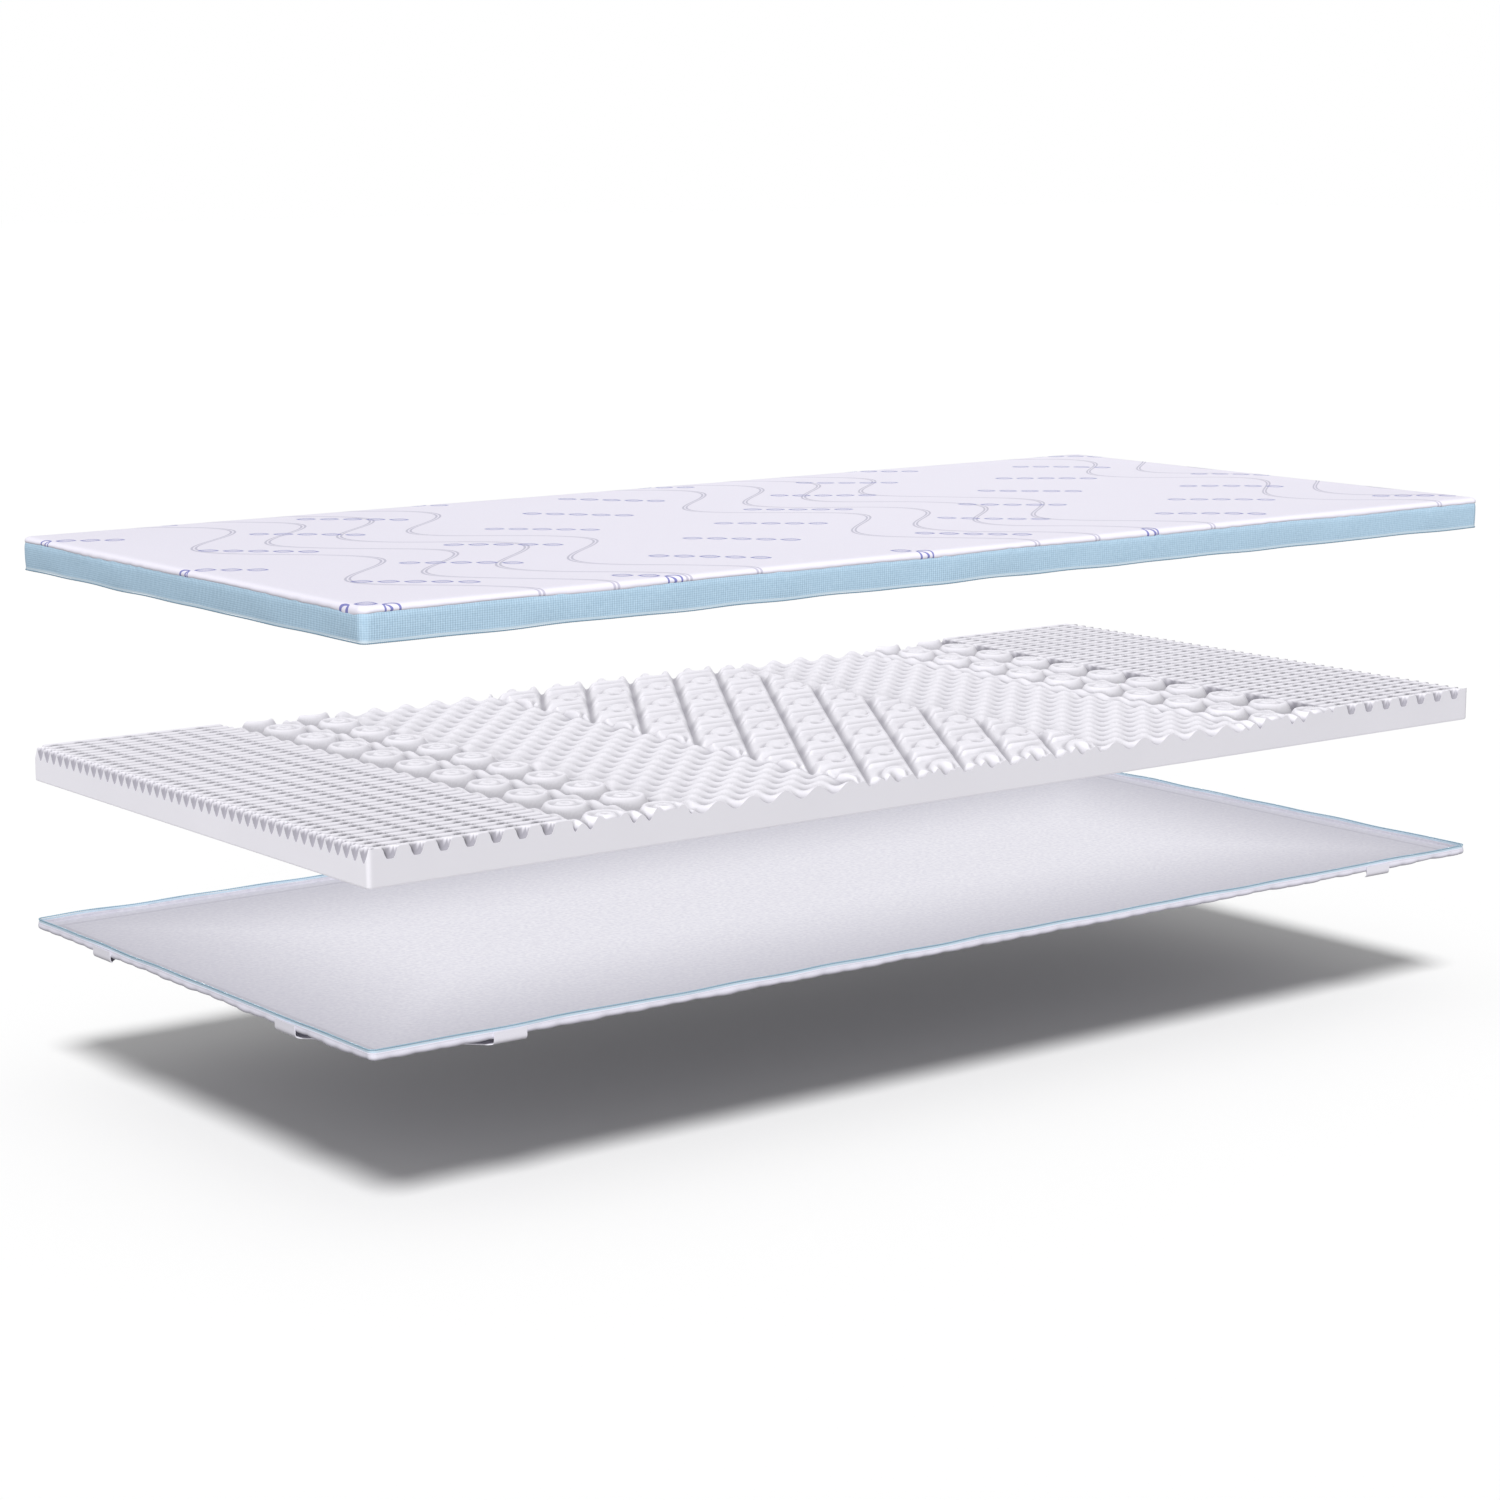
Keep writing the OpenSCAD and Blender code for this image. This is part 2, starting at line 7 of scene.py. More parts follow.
# %% Load the frame
import math
import bmesh
import bpy
import numpy as np
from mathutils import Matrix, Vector


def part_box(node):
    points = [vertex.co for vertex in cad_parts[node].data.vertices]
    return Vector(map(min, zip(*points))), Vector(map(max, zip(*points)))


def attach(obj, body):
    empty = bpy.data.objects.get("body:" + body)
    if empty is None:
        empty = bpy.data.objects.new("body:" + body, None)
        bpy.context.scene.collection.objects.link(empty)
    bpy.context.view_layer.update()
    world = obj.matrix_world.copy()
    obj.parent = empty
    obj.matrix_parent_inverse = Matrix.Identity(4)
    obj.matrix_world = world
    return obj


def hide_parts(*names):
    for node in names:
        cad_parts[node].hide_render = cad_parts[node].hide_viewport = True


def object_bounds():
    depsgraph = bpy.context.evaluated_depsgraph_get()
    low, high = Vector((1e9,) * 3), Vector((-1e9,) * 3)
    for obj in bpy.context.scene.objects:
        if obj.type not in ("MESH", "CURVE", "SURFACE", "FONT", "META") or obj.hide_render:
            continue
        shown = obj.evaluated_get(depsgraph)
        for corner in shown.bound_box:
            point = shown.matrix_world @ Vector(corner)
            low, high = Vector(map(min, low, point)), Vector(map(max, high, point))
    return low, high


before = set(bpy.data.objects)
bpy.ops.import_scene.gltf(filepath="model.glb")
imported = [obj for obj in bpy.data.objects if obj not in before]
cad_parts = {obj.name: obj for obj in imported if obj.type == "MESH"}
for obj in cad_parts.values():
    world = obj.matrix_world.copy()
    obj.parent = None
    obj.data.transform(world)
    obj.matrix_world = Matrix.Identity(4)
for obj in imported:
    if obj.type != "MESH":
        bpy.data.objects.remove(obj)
cad_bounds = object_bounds()
scene = bpy.context.scene
scene.view_settings.view_transform = "Standard"
MM = 0.001
print("nodes:", sorted(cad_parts))


def box_of(node):
    """The lowest and the highest corner of a plain piece."""
    low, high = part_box(node)
    return Vector(low), Vector(high)


# %% [markdown]
# ## The camera
# The camera stands in front of the left half, a little above the cover, and looks along the topper. A wide
# lens close by would spread the long sides apart. A long lens from further off keeps them almost parallel.

# %% Camera
core_low, core_high = box_of("foam_core")
EYE_FROM_CORE = Vector((-3.1338, -3.9694, 0.9152))
HEADING = math.radians(37.687)
LOOK_DOWN = math.radians(10.29)
camera_data = bpy.data.cameras.new("camera")
camera_data.lens = 82.816
camera_data.sensor_width = 36
camera_data.clip_end = 60
camera = bpy.data.objects.new("camera", camera_data)
camera.location = EYE_FROM_CORE + Vector((0, 0, core_low.z))
camera.rotation_euler = (math.pi / 2 - LOOK_DOWN, 0, -HEADING)
scene.collection.objects.link(camera)
scene.camera = camera
print("camera at", tuple(round(place, 3) for place in camera.location))

# %% [markdown]
# ## Writing a material
# A material is a network of nodes in front of one main shader. A recipe adds a node to it in one call. A
# pattern is a formula, and each step of it is a Math node. Python lets a class say what plus, minus and
# times do, so we let them add these nodes, and our formulas stay easy to read.

# %% Values and recipes
WHITE = (1, 1, 1, 1)


def linear(hex_colour):
    """A colour written as RRGGBB, as the linear numbers that shaders take."""
    parts = [int(hex_colour[i:i + 2], 16) / 255 for i in (0, 2, 4)]
    return tuple(c / 12.92 if c < 0.04045 else ((c + 0.055) / 1.055) ** 2.4 for c in parts) + (1.0,)


class Value:
    """A number that changes over a piece. Working with it adds Math nodes to its recipe."""

    def __init__(self, recipe, socket):
        self.recipe, self.socket = recipe, socket

    def __rsub__(self, other):
        return self.recipe.maths("SUBTRACT", other, self)


# Python calls __add__ for plus, __sub__ for minus, and so on
SIGNS = {
    "add": "ADD", "sub": "SUBTRACT", "mul": "MULTIPLY", "truediv": "DIVIDE", "mod": "FLOORED_MODULO",
    "lt": "LESS_THAN", "gt": "GREATER_THAN", "abs": "ABSOLUTE",
}
for sign, operation in SIGNS.items():
    def work(value, *others, operation=operation):
        return value.recipe.maths(operation, value, *others)

    setattr(Value, f"__{sign}__", work)


class Recipe:
    """The node network of a material or a sky, under construction."""

    def __init__(self, owner, shader):
        owner.use_nodes = True
        self.owner, self.tree = owner, owner.node_tree
        self.shader = self.tree.nodes[shader]

    def feed(self, node, inputs):
        """Give each input its number, its RRGGBB colour or the output of another node."""
        for name, value in inputs.items():
            if isinstance(value, Value):
                value = value.socket
            if isinstance(value, bpy.types.NodeSocket):
                self.tree.links.new(value, node.inputs[name])
            elif isinstance(value, str):
                node.inputs[name].default_value = linear(value)
            else:
                node.inputs[name].default_value = value

    def node(self, kind, inputs=None, **settings):
        node = self.tree.nodes.new(kind)
        for key, value in settings.items():
            setattr(node, key, value)
        self.feed(node, inputs or {})
        return node

    def maths(self, operation, *values):
        node = self.node("ShaderNodeMath", dict(enumerate(values)), operation=operation)
        return Value(self, node.outputs[0])

    def place(self):
        """Where each point is, in the piece's own metres."""
        return self.node("ShaderNodeTexCoord").outputs["Object"]

    def split(self, vector):
        node = self.node("ShaderNodeSeparateXYZ", {"Vector": vector})
        return Value(self, node.outputs["X"]), Value(self, node.outputs["Y"])

    def noise(self, scale, detail=2.0):
        """Cloudy noise; its scale is the number of specks to a metre."""
        grain = {"Scale": scale, "Detail": detail, "Vector": self.place()}
        return Value(self, self.node("ShaderNodeTexNoise", grain).outputs["Fac"])

    def mix(self, factor, first, second):
        """From the first colour to the second, as the factor goes from 0 to 1."""
        blend = {"Factor": factor, "A": first, "B": second}
        return self.node("ShaderNodeMix", blend, data_type="RGBA").outputs["Result"]

    def done(self, colour, relief, strength, depth):
        """Give the shader its colour and a bump of a depth in metres, and hand over the material."""
        bump = self.node("ShaderNodeBump", {"Strength": strength, "Distance": depth, "Height": relief})
        self.feed(self.shader, {"Base Color": colour, "Normal": bump.outputs["Normal"]})
        print("material", self.owner.name + ":", len(self.tree.nodes), "nodes")
        return self.owner


def material_recipe(name, roughness, specular=0.5, metallic=0.0):
    recipe = Recipe(bpy.data.materials.new(name), "Principled BSDF")
    shine = {"Roughness": roughness, "Specular IOR Level": specular, "Metallic": metallic}
    recipe.feed(recipe.shader, shine)
    return recipe


# %% [markdown]
# ## Floor and sky
# The layers float over a white ground. A floor that is white to every ray would throw much light back on
# the undersides. So floor and sky are white to the camera's rays and darker to all others, which a Light
# Path node tells apart. The lamps come last, because each is tied to the pieces it lights.

# %% Floor
FLOOR_DROP = 0.215
FLOOR_HALF = 40.0
FLOOR_GREY = (0.25, 0.25, 0.25, 1)
floor_mesh = bpy.data.meshes.new("floor")
floor_corners = [(x * FLOOR_HALF, y * FLOOR_HALF, 0) for x, y in ((-1, -1), (1, -1), (1, 1), (-1, 1))]
floor_mesh.from_pydata(floor_corners, [], [(0, 1, 2, 3)])
floor = bpy.data.objects.new("floor", floor_mesh)
floor.location.z = cad_bounds[0][2] - FLOOR_DROP
scene.collection.objects.link(floor)

recipe = material_recipe("floor_white", roughness=0.9, specular=0.0)
seen = recipe.node("ShaderNodeLightPath").outputs["Is Camera Ray"]
recipe.feed(recipe.shader, {"Base Color": recipe.mix(seen, FLOOR_GREY, WHITE)})
floor_mesh.materials.append(recipe.owner)
print("floor at", round(floor.location.z, 3), "m")

# %% Sky
SKY_STRENGTH = 0.34
scene.world = bpy.data.worlds.new("sky")
recipe = Recipe(scene.world, "Background")
recipe.feed(recipe.shader, {"Color": WHITE, "Strength": SKY_STRENGTH})
white_sky = recipe.node("ShaderNodeBackground", {"Color": WHITE})
seen = recipe.node("ShaderNodeLightPath").outputs["Is Camera Ray"]
skies = {"Fac": seen, 1: recipe.shader.outputs["Background"], 2: white_sky.outputs["Background"]}
sky = recipe.node("ShaderNodeMixShader", skies)
recipe.feed(recipe.tree.nodes["World Output"], {"Surface": sky.outputs["Shader"]})

# %% [markdown]
# ## The foam core
# The core is one moulded block, and its top is a relief in seven zones: wells at both ends, turrets at the
# shoulders, crate foam beside them, and slanted ribs in the middle. Cutting hundreds of hollows with
# boolean modifiers is slow and can fail. A relief is a height over every point of the block, so we work
# it out with formulas on a fine grid, and close the block with flat sides and a flat underside.

# %% Zones along the core, from its left end
CORE_SIZE = core_high - core_low
END_ZONE = 303 * MM
RING_ZONE = 187 * MM
CRATE_ZONE = 280 * MM
WELL_PITCH = (38.8 * MM, 20.2 * MM)
GRID = (WELL_PITCH[0] / 16, WELL_PITCH[1] / 9)
print("core:", tuple(round(side, 3) for side in CORE_SIZE), "m")


def nearest(values, start, pitch):
    """Signed distance to the nearest of a row of marks."""
    return (values - start + pitch / 2) % pitch - pitch / 2


def smooth_step(values, low, high):
    t = np.clip((values - low) / (high - low), 0, 1)
    return t * t * (3 - 2 * t)


# %% [markdown]
# Each zone gets one small function: it takes the distance from the zone's start and the distance across the
# core, and gives back the depth below the highest ribs.

# %% End zone: wells and edge notches
WELL_START = 31.6 * MM
WELL_COLUMNS = 7
WELL_HALF = (11.5 * MM, 8.0 * MM)
WELL_DEPTH = 14.5 * MM
NOTCH_HALF = (13 * MM, 9.4 * MM)
NOTCH_DEPTH = 20 * MM
FURROW_HALF_DEPTH = 1.1 * MM
END_DROP = 0.6 * MM


def well_depth(x, y):
    columns = np.clip(np.round((x - WELL_START) / WELL_PITCH[0]), 0, WELL_COLUMNS - 1)
    dx = x - (WELL_START + columns * WELL_PITCH[0])
    dy = nearest(y, 0, WELL_PITCH[1])
    well = np.hypot(dx / WELL_HALF[0], dy / WELL_HALF[1])
    wells = WELL_DEPTH * (1 - smooth_step(well, 0.45, 1.0))
    notch_y = nearest(y, WELL_PITCH[1] / 2, WELL_PITCH[1])
    notch = np.hypot(x / NOTCH_HALF[0], notch_y / NOTCH_HALF[1])
    notches = NOTCH_DEPTH * np.clip(1 - notch, 0, 1) ** 0.6
    # Between the wells the top is lightly corrugated, but not along the block's edges
    furrow = FURROW_HALF_DEPTH * (1 + np.cos(2 * math.pi * y / WELL_PITCH[1]))
    furrow = furrow * smooth_step(x, 6 * MM, 18 * MM) * smooth_step(y, 4 * MM, 14 * MM)
    return np.maximum.reduce([wells, notches, furrow]) + END_DROP


# %% Shoulder zone: turrets and ridges
TURRET_START = (60.5 * MM, 15 * MM)
TURRET_PITCH = (92.3 * MM, 90 * MM)
# Rings round a turret's middle, and how deep each lies: dimple, button, groove, rim and outer slope
TURRET_RINGS = np.array([0, 3, 5, 8, 12, 15, 17.5, 20, 23, 26, 29, 33, 37, 42]) * MM
TURRET_DEPTHS = np.array([6.5, 5.2, 2.6, 1.2, 1.6, 5.0, 7.0, 5.6, 2.0, 1.0, 3.6, 11.5, 18.0, 20.0]) * MM
RIDGE_START = 14.35 * MM
RIDGE_HALF = 13 * MM
RIDGE_TOP = 5.5 * MM
BUMP_HEIGHT = 2.0 * MM
BUMP_PITCH = 45 * MM
VALLEY_FLOOR = 20 * MM


def turret_depth(x, y):
    dx = nearest(x, TURRET_START[0], TURRET_PITCH[0])
    dy = nearest(y, TURRET_START[1], TURRET_PITCH[1])
    turret = np.interp(np.hypot(dx, dy), TURRET_RINGS, TURRET_DEPTHS)
    bumps = RIDGE_TOP - BUMP_HEIGHT * np.cos(2 * math.pi * (y - TURRET_START[1]) / BUMP_PITCH)
    flank = np.clip(np.abs(nearest(x, RIDGE_START, TURRET_PITCH[0])) / RIDGE_HALF, 0, 1)
    ridge = bumps + (VALLEY_FLOOR - bumps) * flank ** 1.6
    return np.minimum(turret, ridge)


# %% Lumbar zone: crate foam
CRATE_PITCH = (55.3 * MM, 58 * MM)
CRATE_MIDDLE = 10.5 * MM
CRATE_SWING = 6.8 * MM


def crate_depth(x, y):
    wave = np.cos(2 * math.pi * x / CRATE_PITCH[0]) * np.cos(2 * math.pi * y / CRATE_PITCH[1])
    return CRATE_MIDDLE - CRATE_SWING * wave


# %% [markdown]
# The ribs of the hip zone lean, so the distance across a rib depends on the row. Every cell of a rib has a
# rounded tongue on a lowered step, and a pit beside it. All these hollows are worked out alone, and the
# deepest one counts.

# %% Hip zone: slanted ribs with pits and tongues
RIB_PITCH = (85.3 * MM, 130 * MM)
RIB_START = 19 * MM
RIB_VALLEY_DEPTH = 17.5 * MM
STEP_DEPTH = 6.5 * MM
# Rows over which the step goes down and comes up again
STEP_ROWS = (-8 * MM, -3 * MM, 63 * MM, 68 * MM)
TONGUE_MIDDLE = (46.9 * MM, 22 * MM)
TONGUE_HALF = (23 * MM, 31 * MM)
GROOVE_DEPTH, COIN_RING_DEPTH = 5.0 * MM, 1.2 * MM
PIT_MIDDLE = (50.6 * MM, -10 * MM)
PIT_HALF = (15 * MM, 17 * MM)
PIT_DEPTH = 10 * MM
TROUGH_ROW, TROUGH_HALF, TROUGH_DEPTH = 84 * MM, 16 * MM, 8 * MM
TOOTH_START, TOOTH_DEPTH = 8 * MM, 15 * MM


def rib_depth(x, y):
    across = (x - RIB_START - RIB_PITCH[0] / RIB_PITCH[1] * y) % RIB_PITCH[0]
    row = y % RIB_PITCH[1]
    edge = np.minimum(across, RIB_PITCH[0] - across)
    valley = RIB_VALLEY_DEPTH * (1 - smooth_step(edge, -6 * MM, 15 * MM)) * 1.18
    # The step down from the plateau to the shoulders beside the tongue
    shoulder = smooth_step(row, *STEP_ROWS[:2]) * (1 - smooth_step(row, *STEP_ROWS[2:]))
    tongue_x, tongue_y = across - TONGUE_MIDDLE[0], row - TONGUE_MIDDLE[1]
    tongue = np.hypot(tongue_x / TONGUE_HALF[0], tongue_y / TONGUE_HALF[1])
    lowered = STEP_DEPTH * shoulder * (1 - np.clip(1 - tongue ** 2, 0, 1) ** 0.35)
    # A groove runs round the tongue, and a shallow ring on it, as on a coin
    groove = GROOVE_DEPTH * np.exp(-((tongue - 1.04) / 0.12) ** 2) * shoulder
    groove = groove + COIN_RING_DEPTH * np.exp(-((tongue - 0.62) / 0.10) ** 2)
    pit_y = nearest(row, PIT_MIDDLE[1], RIB_PITCH[1])
    pit = np.hypot((across - PIT_MIDDLE[0]) / PIT_HALF[0], pit_y / PIT_HALF[1])
    pit = PIT_DEPTH * (1 - smooth_step(pit, 0.15, 1.0))
    # A soft trough parts each cell of a rib from the next
    apart = np.abs(nearest(row, TROUGH_ROW, RIB_PITCH[1]))
    trough = TROUGH_DEPTH * (1 - smooth_step(apart, 0, TROUGH_HALF))
    # Where the two long edges cut through the ribs they leave a row of teeth
    tooth = (0.5 + 0.5 * np.cos(4 * math.pi * (across - TOOTH_START) / RIB_PITCH[0])) ** 1.3
    from_edge = np.minimum(y, CORE_SIZE.y - y)
    teeth = TOOTH_DEPTH * tooth * (1 - smooth_step(from_edge, 3 * MM, 26 * MM))
    return np.maximum.reduce([valley, lowered + groove, pit, trough, teeth])


# %% The whole relief
# How far the pattern is moved in the two crate zones, and in the right-hand turret zone
CRATE_SHIFTS = (44 * MM, 71 * MM)
TURRET_SHIFT = 3 * MM


def core_relief(x, y):
    """Depth below the highest ribs, with x from the left end and y from the front edge."""
    length = CORE_SIZE.x
    crate_start = END_ZONE + RING_ZONE
    rib_start = crate_start + CRATE_ZONE
    zones = [
        (0, lambda a: well_depth(a, y)),
        (END_ZONE, lambda a: turret_depth(a - END_ZONE, y)),
        (crate_start, lambda a: crate_depth(a - crate_start - CRATE_SHIFTS[0], y)),
        (rib_start, lambda a: rib_depth(a - rib_start, y)),
        (length - rib_start, lambda a: crate_depth(a - length + rib_start - CRATE_SHIFTS[1], y)),
        (length - crate_start, lambda a: turret_depth(a - length + crate_start - TURRET_SHIFT, y)),
        (length - END_ZONE, lambda a: well_depth(length - a, y)),
    ]
    depth = np.zeros_like(x)
    for start, zone in zones:
        depth = np.where(x >= start, zone(x), depth)
    return depth


# %% [markdown]
# The hollows of the relief get painted shade, darker than the lamps alone make them. So we measure how far
# each point lies below its surroundings, and keep that as a value at each point, where the foam's material
# reads it as shade.

# %% Painted shade in hollows
def averaged(values, reach, axis):
    """Running mean along one axis, with the border values held."""
    pad = [(reach + 1, reach) if a == axis else (0, 0) for a in range(2)]
    total = np.cumsum(np.pad(values, pad, mode="edge"), axis=axis)
    width = 2 * reach + 1
    ahead = np.take(total, np.arange(width, total.shape[axis]), axis=axis)
    behind = np.take(total, np.arange(0, total.shape[axis] - width), axis=axis)
    return (ahead - behind) / width


def softened(values, reach):
    for axis in (0, 1, 0, 1):
        values = averaged(values, reach, axis)
    return values


def shallowest(values, reach):
    """Smallest value within a few grid steps in each direction."""
    for axis in (0, 1):
        pad = [(reach, reach) if a == axis else (0, 0) for a in range(2)]
        padded = np.pad(values, pad, mode="edge")
        marks = np.arange(values.shape[axis])
        shifted = [np.take(padded, marks + shift, axis=axis) for shift in range(2 * reach + 1)]
        values = np.minimum.reduce(shifted)
    return values


def shade_of_hollows(depth, x):
    """Painted shade: 0 on crests and 1 in deep hollows; the small wells darken sooner than the wide forms.
    """
    near = np.clip((depth - softened(depth, 2)) / (3.6 * MM), 0, 1)
    wide = np.clip((depth - softened(depth, 6)) / (9.0 * MM), 0, 1)
    from_end = np.minimum(x, CORE_SIZE.x - x)
    strength = np.where(from_end > END_ZONE + RING_ZONE + CRATE_ZONE, 0.34, 0.46)
    wells = 0.75 * smooth_step(depth - shallowest(depth, 4), 0.3 * MM, 3.6 * MM)
    return np.clip(np.where(from_end < END_ZONE, wells, strength * (near + wide)), 0, 1)


# %% [markdown]
# Building a large mesh face by face is slow. We hand Blender whole arrays of points and corners instead.

# %% Building a mesh from arrays
CREASE_ANGLE = math.radians(48)


def quads(stops, ring, walk_closed=True, section_closed=True):
    """Faces between neighbouring stops of a walk and neighbouring points of the section."""
    i = np.arange(stops if walk_closed else stops - 1)[:, None]
    j = np.arange(ring if section_closed else ring - 1)[None, :]
    next_i, next_j = (i + 1) % stops, (j + 1) % ring
    corners = [i * ring + j, next_i * ring + j, next_i * ring + next_j, i * ring + next_j]
    return np.stack(corners, axis=-1).reshape(-1, 4)


def mesh_object(name, points, *face_groups):
    """A mesh from points and one or more groups of faces, each group with one number of corners."""
    mesh = bpy.data.meshes.new(name)
    points = np.asarray(points, dtype=np.float32)
    groups = [np.asarray(group, dtype=np.int32) for group in face_groups]
    corners = np.concatenate([np.full(len(group), group.shape[1]) for group in groups])
    starts = np.concatenate([[0], np.cumsum(corners)[:-1]]).astype(np.int32)
    loops = np.concatenate([group.ravel() for group in groups])
    mesh.vertices.add(len(points))
    mesh.vertices.foreach_set("co", points.ravel())
    mesh.loops.add(len(loops))
    mesh.loops.foreach_set("vertex_index", loops)
    mesh.polygons.add(len(corners))
    mesh.polygons.foreach_set("loop_start", starts)
    mesh.update(calc_edges=True)
    mesh.polygons.foreach_set("use_smooth", np.full(len(corners), True))
    mesh.validate()
    mesh.set_sharp_from_angle(angle=CREASE_ANGLE)
    piece = bpy.data.objects.new(name, mesh)
    scene.collection.objects.link(piece)
    print(name + ":", len(points), "points,", len(corners), "faces")
    return piece


# %% [markdown]
# Cut foam has soft crests, so the depths are averaged a little with their neighbours. The grid's outer line
# is copied to start the sides, which keeps the cut edge crisp, and the four upright corners are pulled in
# to an arc.

# %% Foam core mesh
CORNER_RADIUS = 5 * MM
END_SHARE, MIDDLE_SHARE = 0.10, 0.25
SIDE_LEVELS = (0.06, 0.04, 0.0)
FOOT_INSET = 1.2 * MM


def grid_marks(length, step):
    """Even marks from 0, with the last one moved to the length itself."""
    marks = np.arange(0, length, step)
    return np.append(marks[marks < length - step / 2], length)


def with_soft_crests(depth, x, length):
    """The small wells at the ends keep more of their edge than the wide forms do."""
    share = np.where(np.minimum(x, length - x) < END_ZONE, END_SHARE, MIDDLE_SHARE)
    soft = depth.copy()
    soft[1:-1, :] += (share * (np.roll(depth, 1, 0) + np.roll(depth, -1, 0) - 2 * depth))[1:-1, :]
    softer = soft.copy()
    softer[:, 1:-1] += (share * (np.roll(soft, 1, 1) + np.roll(soft, -1, 1) - 2 * soft))[:, 1:-1]
    return softer


def with_round_corners(x, y, size, radius):
    """Points of the plan that lie in a square corner are pulled in to its arc."""
    over_x = np.clip(np.maximum(radius - x, x - (size.x - radius)), 0, None)
    over_y = np.clip(np.maximum(radius - y, y - (size.y - radius)), 0, None)
    reach = np.maximum(np.hypot(over_x, over_y), 1e-9)
    squeeze = np.where((over_x > 0) & (over_y > 0), np.maximum(over_x, over_y) / reach, 1.0)
    side_x = np.where(x < size.x / 2, -1, 1)
    side_y = np.where(y < size.y / 2, -1, 1)
    return x - side_x * over_x * (1 - squeeze), y - side_y * over_y * (1 - squeeze)


def rim_of_grid(columns, rows):
    """The grid's outer points, once round from the front left corner."""
    front = np.arange(columns) * rows
    right = (columns - 1) * rows + np.arange(rows)
    back = front[::-1] + rows - 1
    left = np.arange(rows)[::-1]
    return np.concatenate([front, right[1:], back[1:], left[1:-1]])


def block_with_relief(name, low, size, relief):
    x, y = np.meshgrid(grid_marks(size.x, GRID[0]), grid_marks(size.y, GRID[1]), indexing="ij")
    depth = with_soft_crests(relief(x, y), x, size.x)
    x, y = with_round_corners(x, y, size, CORNER_RADIUS)
    points = np.stack([x + low.x, y + low.y, size.z - depth + low.z], axis=-1).reshape(-1, 3)
    rim = points[rim_of_grid(*x.shape)]
    levels = [points, rim]
    for share in SIDE_LEVELS:
        level = rim.copy()
        level[:, 2] = low.z + (rim[:, 2] - low.z) * share
        if share == 0.0:
            level[:, :2] += np.sign([low.x + size.x / 2, low.y + size.y / 2] - level[:, :2]) * FOOT_INSET
        levels.append(level)
    top = quads(*x.shape, walk_closed=False, section_closed=False)
    sides = quads(len(SIDE_LEVELS) + 1, len(rim), walk_closed=False) + len(points)
    points = np.concatenate(levels)
    foot = np.arange(len(points) - len(rim), len(points))[None, ::-1]
    block = mesh_object(name, points, np.concatenate([top, sides]), foot)
    # Painted shade for the hollows, kept at each point for the foam's material
    hollow = np.zeros(len(points), dtype=np.float32)
    hollow[:depth.size] = shade_of_hollows(depth, x).ravel()
    block.data.attributes.new("hollow", "FLOAT", "POINT").data.foreach_set("value", hollow)
    return block


foam_core = block_with_relief("foam_block", core_low, CORE_SIZE, core_relief)


# %% [markdown]
# ## Fabric that follows the core
# The cover and the base tray are sewn round the core's rectangle with small round corners. Tape, hem and
# rim could be curves with a bevel, but then their folds couldn't change from place to place. So we walk
# round the outline once, keep where we are and which way is outward, and carry a section along it. The
# distance walked becomes a texture coordinate, so that ribs keep their size all the way round.

# %% Outline walk
WALK_STEP = 4.5 * MM


def walk_round(low, high, radius, step=WALK_STEP):
    """Points round a box with round corners: position, outward direction and distance walked."""
    length, width = high.x - low.x, high.y - low.y
    rows = []
    walked = 0.0
    corners = ((1, -1, -90), (1, 1, 0), (-1, 1, 90), (-1, -1, 180))
    for index, (sx, sy, start) in enumerate(corners):
        cx, cy = sx * (length / 2 - radius), sy * (width / 2 - radius)
        bend = max(4, int(radius * math.pi / 2 / step * 2) + 1)
        for k in range(bend):
            angle = math.radians(start + 90 * k / bend)
            out = (math.cos(angle), math.sin(angle))
            rows.append((cx + radius * out[0], cy + radius * out[1], *out, walked))
            walked += radius * math.pi / 2 / bend
        run = (width if index % 2 == 0 else length) - 2 * radius
        angle = math.radians(start + 90)
        out = (math.cos(angle), math.sin(angle))
        along = (-out[1], out[0])
        px, py = cx + radius * out[0], cy + radius * out[1]
        pieces = max(1, round(run / step))
        for k in range(pieces):
            x, y = px + along[0] * run * k / pieces, py + along[1] * run * k / pieces
            rows.append((x, y, *out, walked))
            walked += run / pieces
    print("outline:", round(walked, 3), "m in", len(rows), "stops")
    return np.array(rows), walked


def map_walk(piece, walk, total, reach):
    """Texture coordinates: metres walked along the outline, and the given distances over the section."""
    along = np.append(walk[:, 4], total)
    uv = np.empty((len(walk), len(reach) - 1, 4, 2), dtype=np.float32)
    uv[..., 0, 0] = uv[..., 3, 0] = along[:-1, None]
    uv[..., 1, 0] = uv[..., 2, 0] = along[1:, None]
    uv[..., 0, 1] = uv[..., 1, 1] = reach[None, :-1]
    uv[..., 2, 1] = uv[..., 3, 1] = reach[None, 1:]
    piece.data.uv_layers.new(name="walk").data.foreach_set("uv", uv.ravel())


def carry(name, walk, total, section):
    """Closed ring: section(walk) gives points (outward, height) round a loop for every stop."""
    outward, height = section(walk)
    x = walk[:, 0:1] + walk[:, 2:3] * outward
    y = walk[:, 1:2] + walk[:, 3:4] * outward
    points = np.stack([x, y, height], axis=-1).reshape(-1, 3)
    piece = mesh_object(name, points, quads(*outward.shape))
    ring = outward.shape[1]
    map_walk(piece, walk, total, np.arange(ring + 1) / ring)
    return piece


# %% [markdown]
# Fabric is never quite straight. A few sine waves of random length and phase, which close up over one trip
# round, give it slack. The random numbers start from a fixed seed, so each run gives the same fabric.

# %% Waves in the fabric
rng = np.random.default_rng(7)


def ripples(count, shortest, longest):
    """Length, phase and size of a few random waves."""
    return [
        (rng.uniform(shortest, longest), rng.uniform(0, 2 * math.pi), rng.uniform(0.5, 1.0))
        for _ in range(count)
    ]


